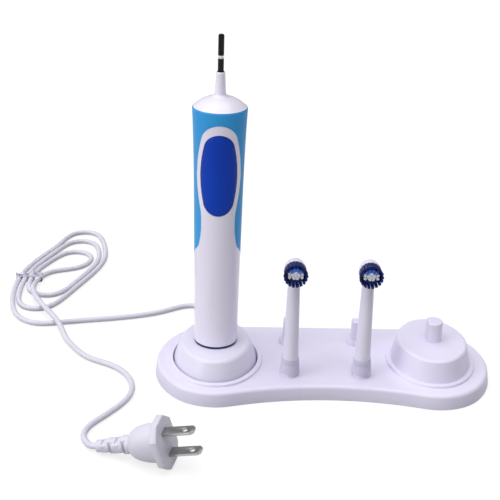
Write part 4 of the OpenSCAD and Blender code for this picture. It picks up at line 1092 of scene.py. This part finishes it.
def make_blades():
    """Two flat blades with chamfered tips and a round hole each."""
    root, bend, tip, tip_half = -9.9, 15.4, 17, 1.9
    hole_r, hole_x = 1.5, 12
    outline = [(root, -blade_half_w), (bend, -blade_half_w), (tip, -tip_half),
               (tip, tip_half), (bend, blade_half_w), (root, blade_half_w)]
    blades = []
    for side in (-1, 1):
        z = side * blade_z
        blade = made(prism(outline, z - blade_half_t, z + blade_half_t),
                     cut=[move(rod(hole_r, -3, 3, 40), at(hole_x, 0, z))])
        soften(blade, 0.25)
        set_on_plug(blade)
        name = "plug_blade_" + ("low" if side < 0 else "high")
        blades.append(fit(blade, name, "stand", "blade_metal", ["plug_blades"]))
    return blades


def make_plug_relief():
    """Strain relief of rings on a slim core. Webs close the gaps at the sides, then above
    and below, in turn, so that every second gap shows as a dark slot."""
    pitch, slot, core = 4, 1.6, 1.8
    rings, first_r, wider = 5, 3.25, 0.33
    profile = [(0, 0), (2.2, 0)]
    for i in range(rings):
        r = first_r + wider * i
        start = i * pitch + (slot if i else 0.2)
        end = i * pitch + pitch
        profile += [(core, start), (r - 0.35, start), (r - 0.1, start + 0.12),
                    (r, start + 0.4), (r + 0.06, end - 0.4), (r - 0.05, end - 0.12),
                    (r - 0.3, end), (core, end)]
    profile[-1:] = [(0, rings * pitch)]
    along = turn(math.pi / 2, "Y")
    webs = []
    for i in range(1, rings):
        r = 2.95 + wider * i
        half = r * 0.62
        web = box((-r, -half, i * pitch - 0.6), (r, half, i * pitch + slot + 0.6))
        webs.append(move(web, at(-plug_l, 0), along, turn(math.pi / 2 * (i % 2), "Z")))
    relief = made(move(lathe(profile, 48), at(-plug_l, 0), along), add=webs)
    soften(relief, 0.12, 50)
    set_on_plug(relief)
    return fit(relief, "plug_relief_rings", "stand", "cord_jacket", ["plug_relief"])


def make_tie():
    """Flat twist tie round the hank's four left-hand runs, with its two ends twisted."""
    y0, y1 = 115.5, 119.5
    left, right = -196.1, -182.2
    base, top = 0.06, tied + cord_r + 0.42
    r = (top - base) / 2
    centre = (top + base) / 2
    thick, end_l, end_rise = 0.34, 9, 2.2
    loop = [(left + r * math.cos(t), centre + r * math.sin(t))
            for t in [math.pi / 2 + math.pi * i / 12 for i in range(13)]]
    loop += [(right + r * math.cos(t), centre + r * math.sin(t))
             for t in [-math.pi / 2 + math.pi * i / 12 for i in range(13)]]
    rings = []
    middle_x = (left + right) / 2
    for x, z in loop:
        outward = Vector((x - max(left, min(right, x)), z - centre)).normalized() * thick
        rings.append([(x, y0, z), (x, y1, z), (x - outward.x, y1, z - outward.y),
                      (x - outward.x, y0, z - outward.y)])
    band = loft(rings + [rings[0]], caps=False)
    ends = []
    for side in (-1, 1):
        twist = []
        for i in range(25):
            s = i / 24
            angle = side * math.pi * 1.5 * s
            x = middle_x + side * end_l * s
            z = top - 0.1 + end_rise * math.sin(math.pi * min(s * 1.2, 1)) * 0.8
            wide = Vector((0, math.cos(angle), math.sin(angle))) * 1.7
            deep = Vector((0, -math.sin(angle), math.cos(angle))) * thick / 2
            spot = Vector((x, (y0 + y1) / 2, z + 0.35))
            twist.append([tuple(spot + a * wide + b * deep)
                          for a, b in ((-1, -1), (1, -1), (1, 1), (-1, 1))])
        ends.append(loft(twist))
    tie = solid(both(band, *ends))
    return fit(tie, "cord_tie", "stand", "cord_jacket")


make_stand()
make_charger()
strain_relief = make_strain_relief()
make_handle()
make_button()
make_nose()
for head in ("a", "b"):
    make_tube(head)
    make_ring(head)
    make_disc(head)
    make_bristles(head)
plug_pieces = [make_plug(), *make_blades(), make_plug_relief()]
tie = make_tie()

cord.data.materials.append(finishes["cord_jacket"])
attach(cord, "stand")
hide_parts("cord_lead", "cord_hank", "cord_tail")


# ---- Floor and light ----

def make_floor():
    """Pale tabletop that shows white and keeps a faint shadow."""
    far = 1500
    floor = solid(([(-far, -far, 0), (far, -far, 0), (far, far, 0), (-far, far, 0)],
                   [(0, 1, 2, 3)]), "floor")
    material, tree = blank("tabletop_matt_white")[:2]
    seen = add(tree, "LightPath").outputs
    plain = add(tree, "BsdfDiffuse", {"Color": linear("#A0A0A0")})
    shade = add(tree, "BsdfDiffuse", {"Color": linear("#959595")})
    glow = add(tree, "Emission", {"Color": (1, 1, 1, 1), "Strength": 0.74})
    mirrored = add(tree, "Math", {0: seen["Is Camera Ray"], 1: seen["Is Glossy Ray"]},
                   operation="MAXIMUM")
    clear = add(tree, "Math", {0: mirrored.outputs["Value"],
                               1: seen["Is Transmission Ray"]}, operation="MAXIMUM")
    lit = add(tree, "AddShader", {0: shade.outputs["BSDF"], 1: glow.outputs["Emission"]})
    mixed = add(tree, "MixShader", {0: clear.outputs["Value"], 1: plain.outputs["BSDF"],
                                    2: lit.outputs["Shader"]})
    add(tree, "OutputMaterial", {"Surface": mixed.outputs["Shader"]})
    floor.data.materials.append(material)


def make_world():
    """Even light from all round; what looks past the floor sees white."""
    world = bpy.data.worlds.new("studio")
    world.use_nodes = True
    tree = world.node_tree
    tree.nodes.clear()
    seen = add(tree, "LightPath")
    fill = add(tree, "Background", {"Color": (1, 1, 1, 1), "Strength": 0.3})
    white = add(tree, "Background", {"Color": (1, 1, 1, 1), "Strength": 1})
    mixed = add(tree, "MixShader", {0: seen.outputs["Is Camera Ray"],
                                    1: fill.outputs["Background"],
                                    2: white.outputs["Background"]})
    add(tree, "OutputWorld", {"Surface": mixed.outputs["Shader"]})
    bpy.context.scene.world = world


def make_sun(name, towards, strength, spread_angle):
    """A soft lamp far away: its light comes from the given direction."""
    data = bpy.data.lights.new(name, "SUN")
    data.energy = strength
    data.angle = math.radians(spread_angle)
    lamp = bpy.data.objects.new(name, data)
    bpy.context.scene.collection.objects.link(lamp)
    lamp.location = Vector(towards).normalized()
    lamp.rotation_mode = "QUATERNION"
    lamp.rotation_quaternion = Vector(towards).to_track_quat("Z", "Y")


make_floor()
make_world()
make_sun("overhead", (-0.12, -0.04, 1), 2.08, 70)
make_sun("left", (-0.85, -0.42, 0.3), 1.15, 40)
make_sun("front", (0.1, -0.95, 0.3), 0.1, 40)
bpy.context.scene.view_settings.view_transform = "Standard"
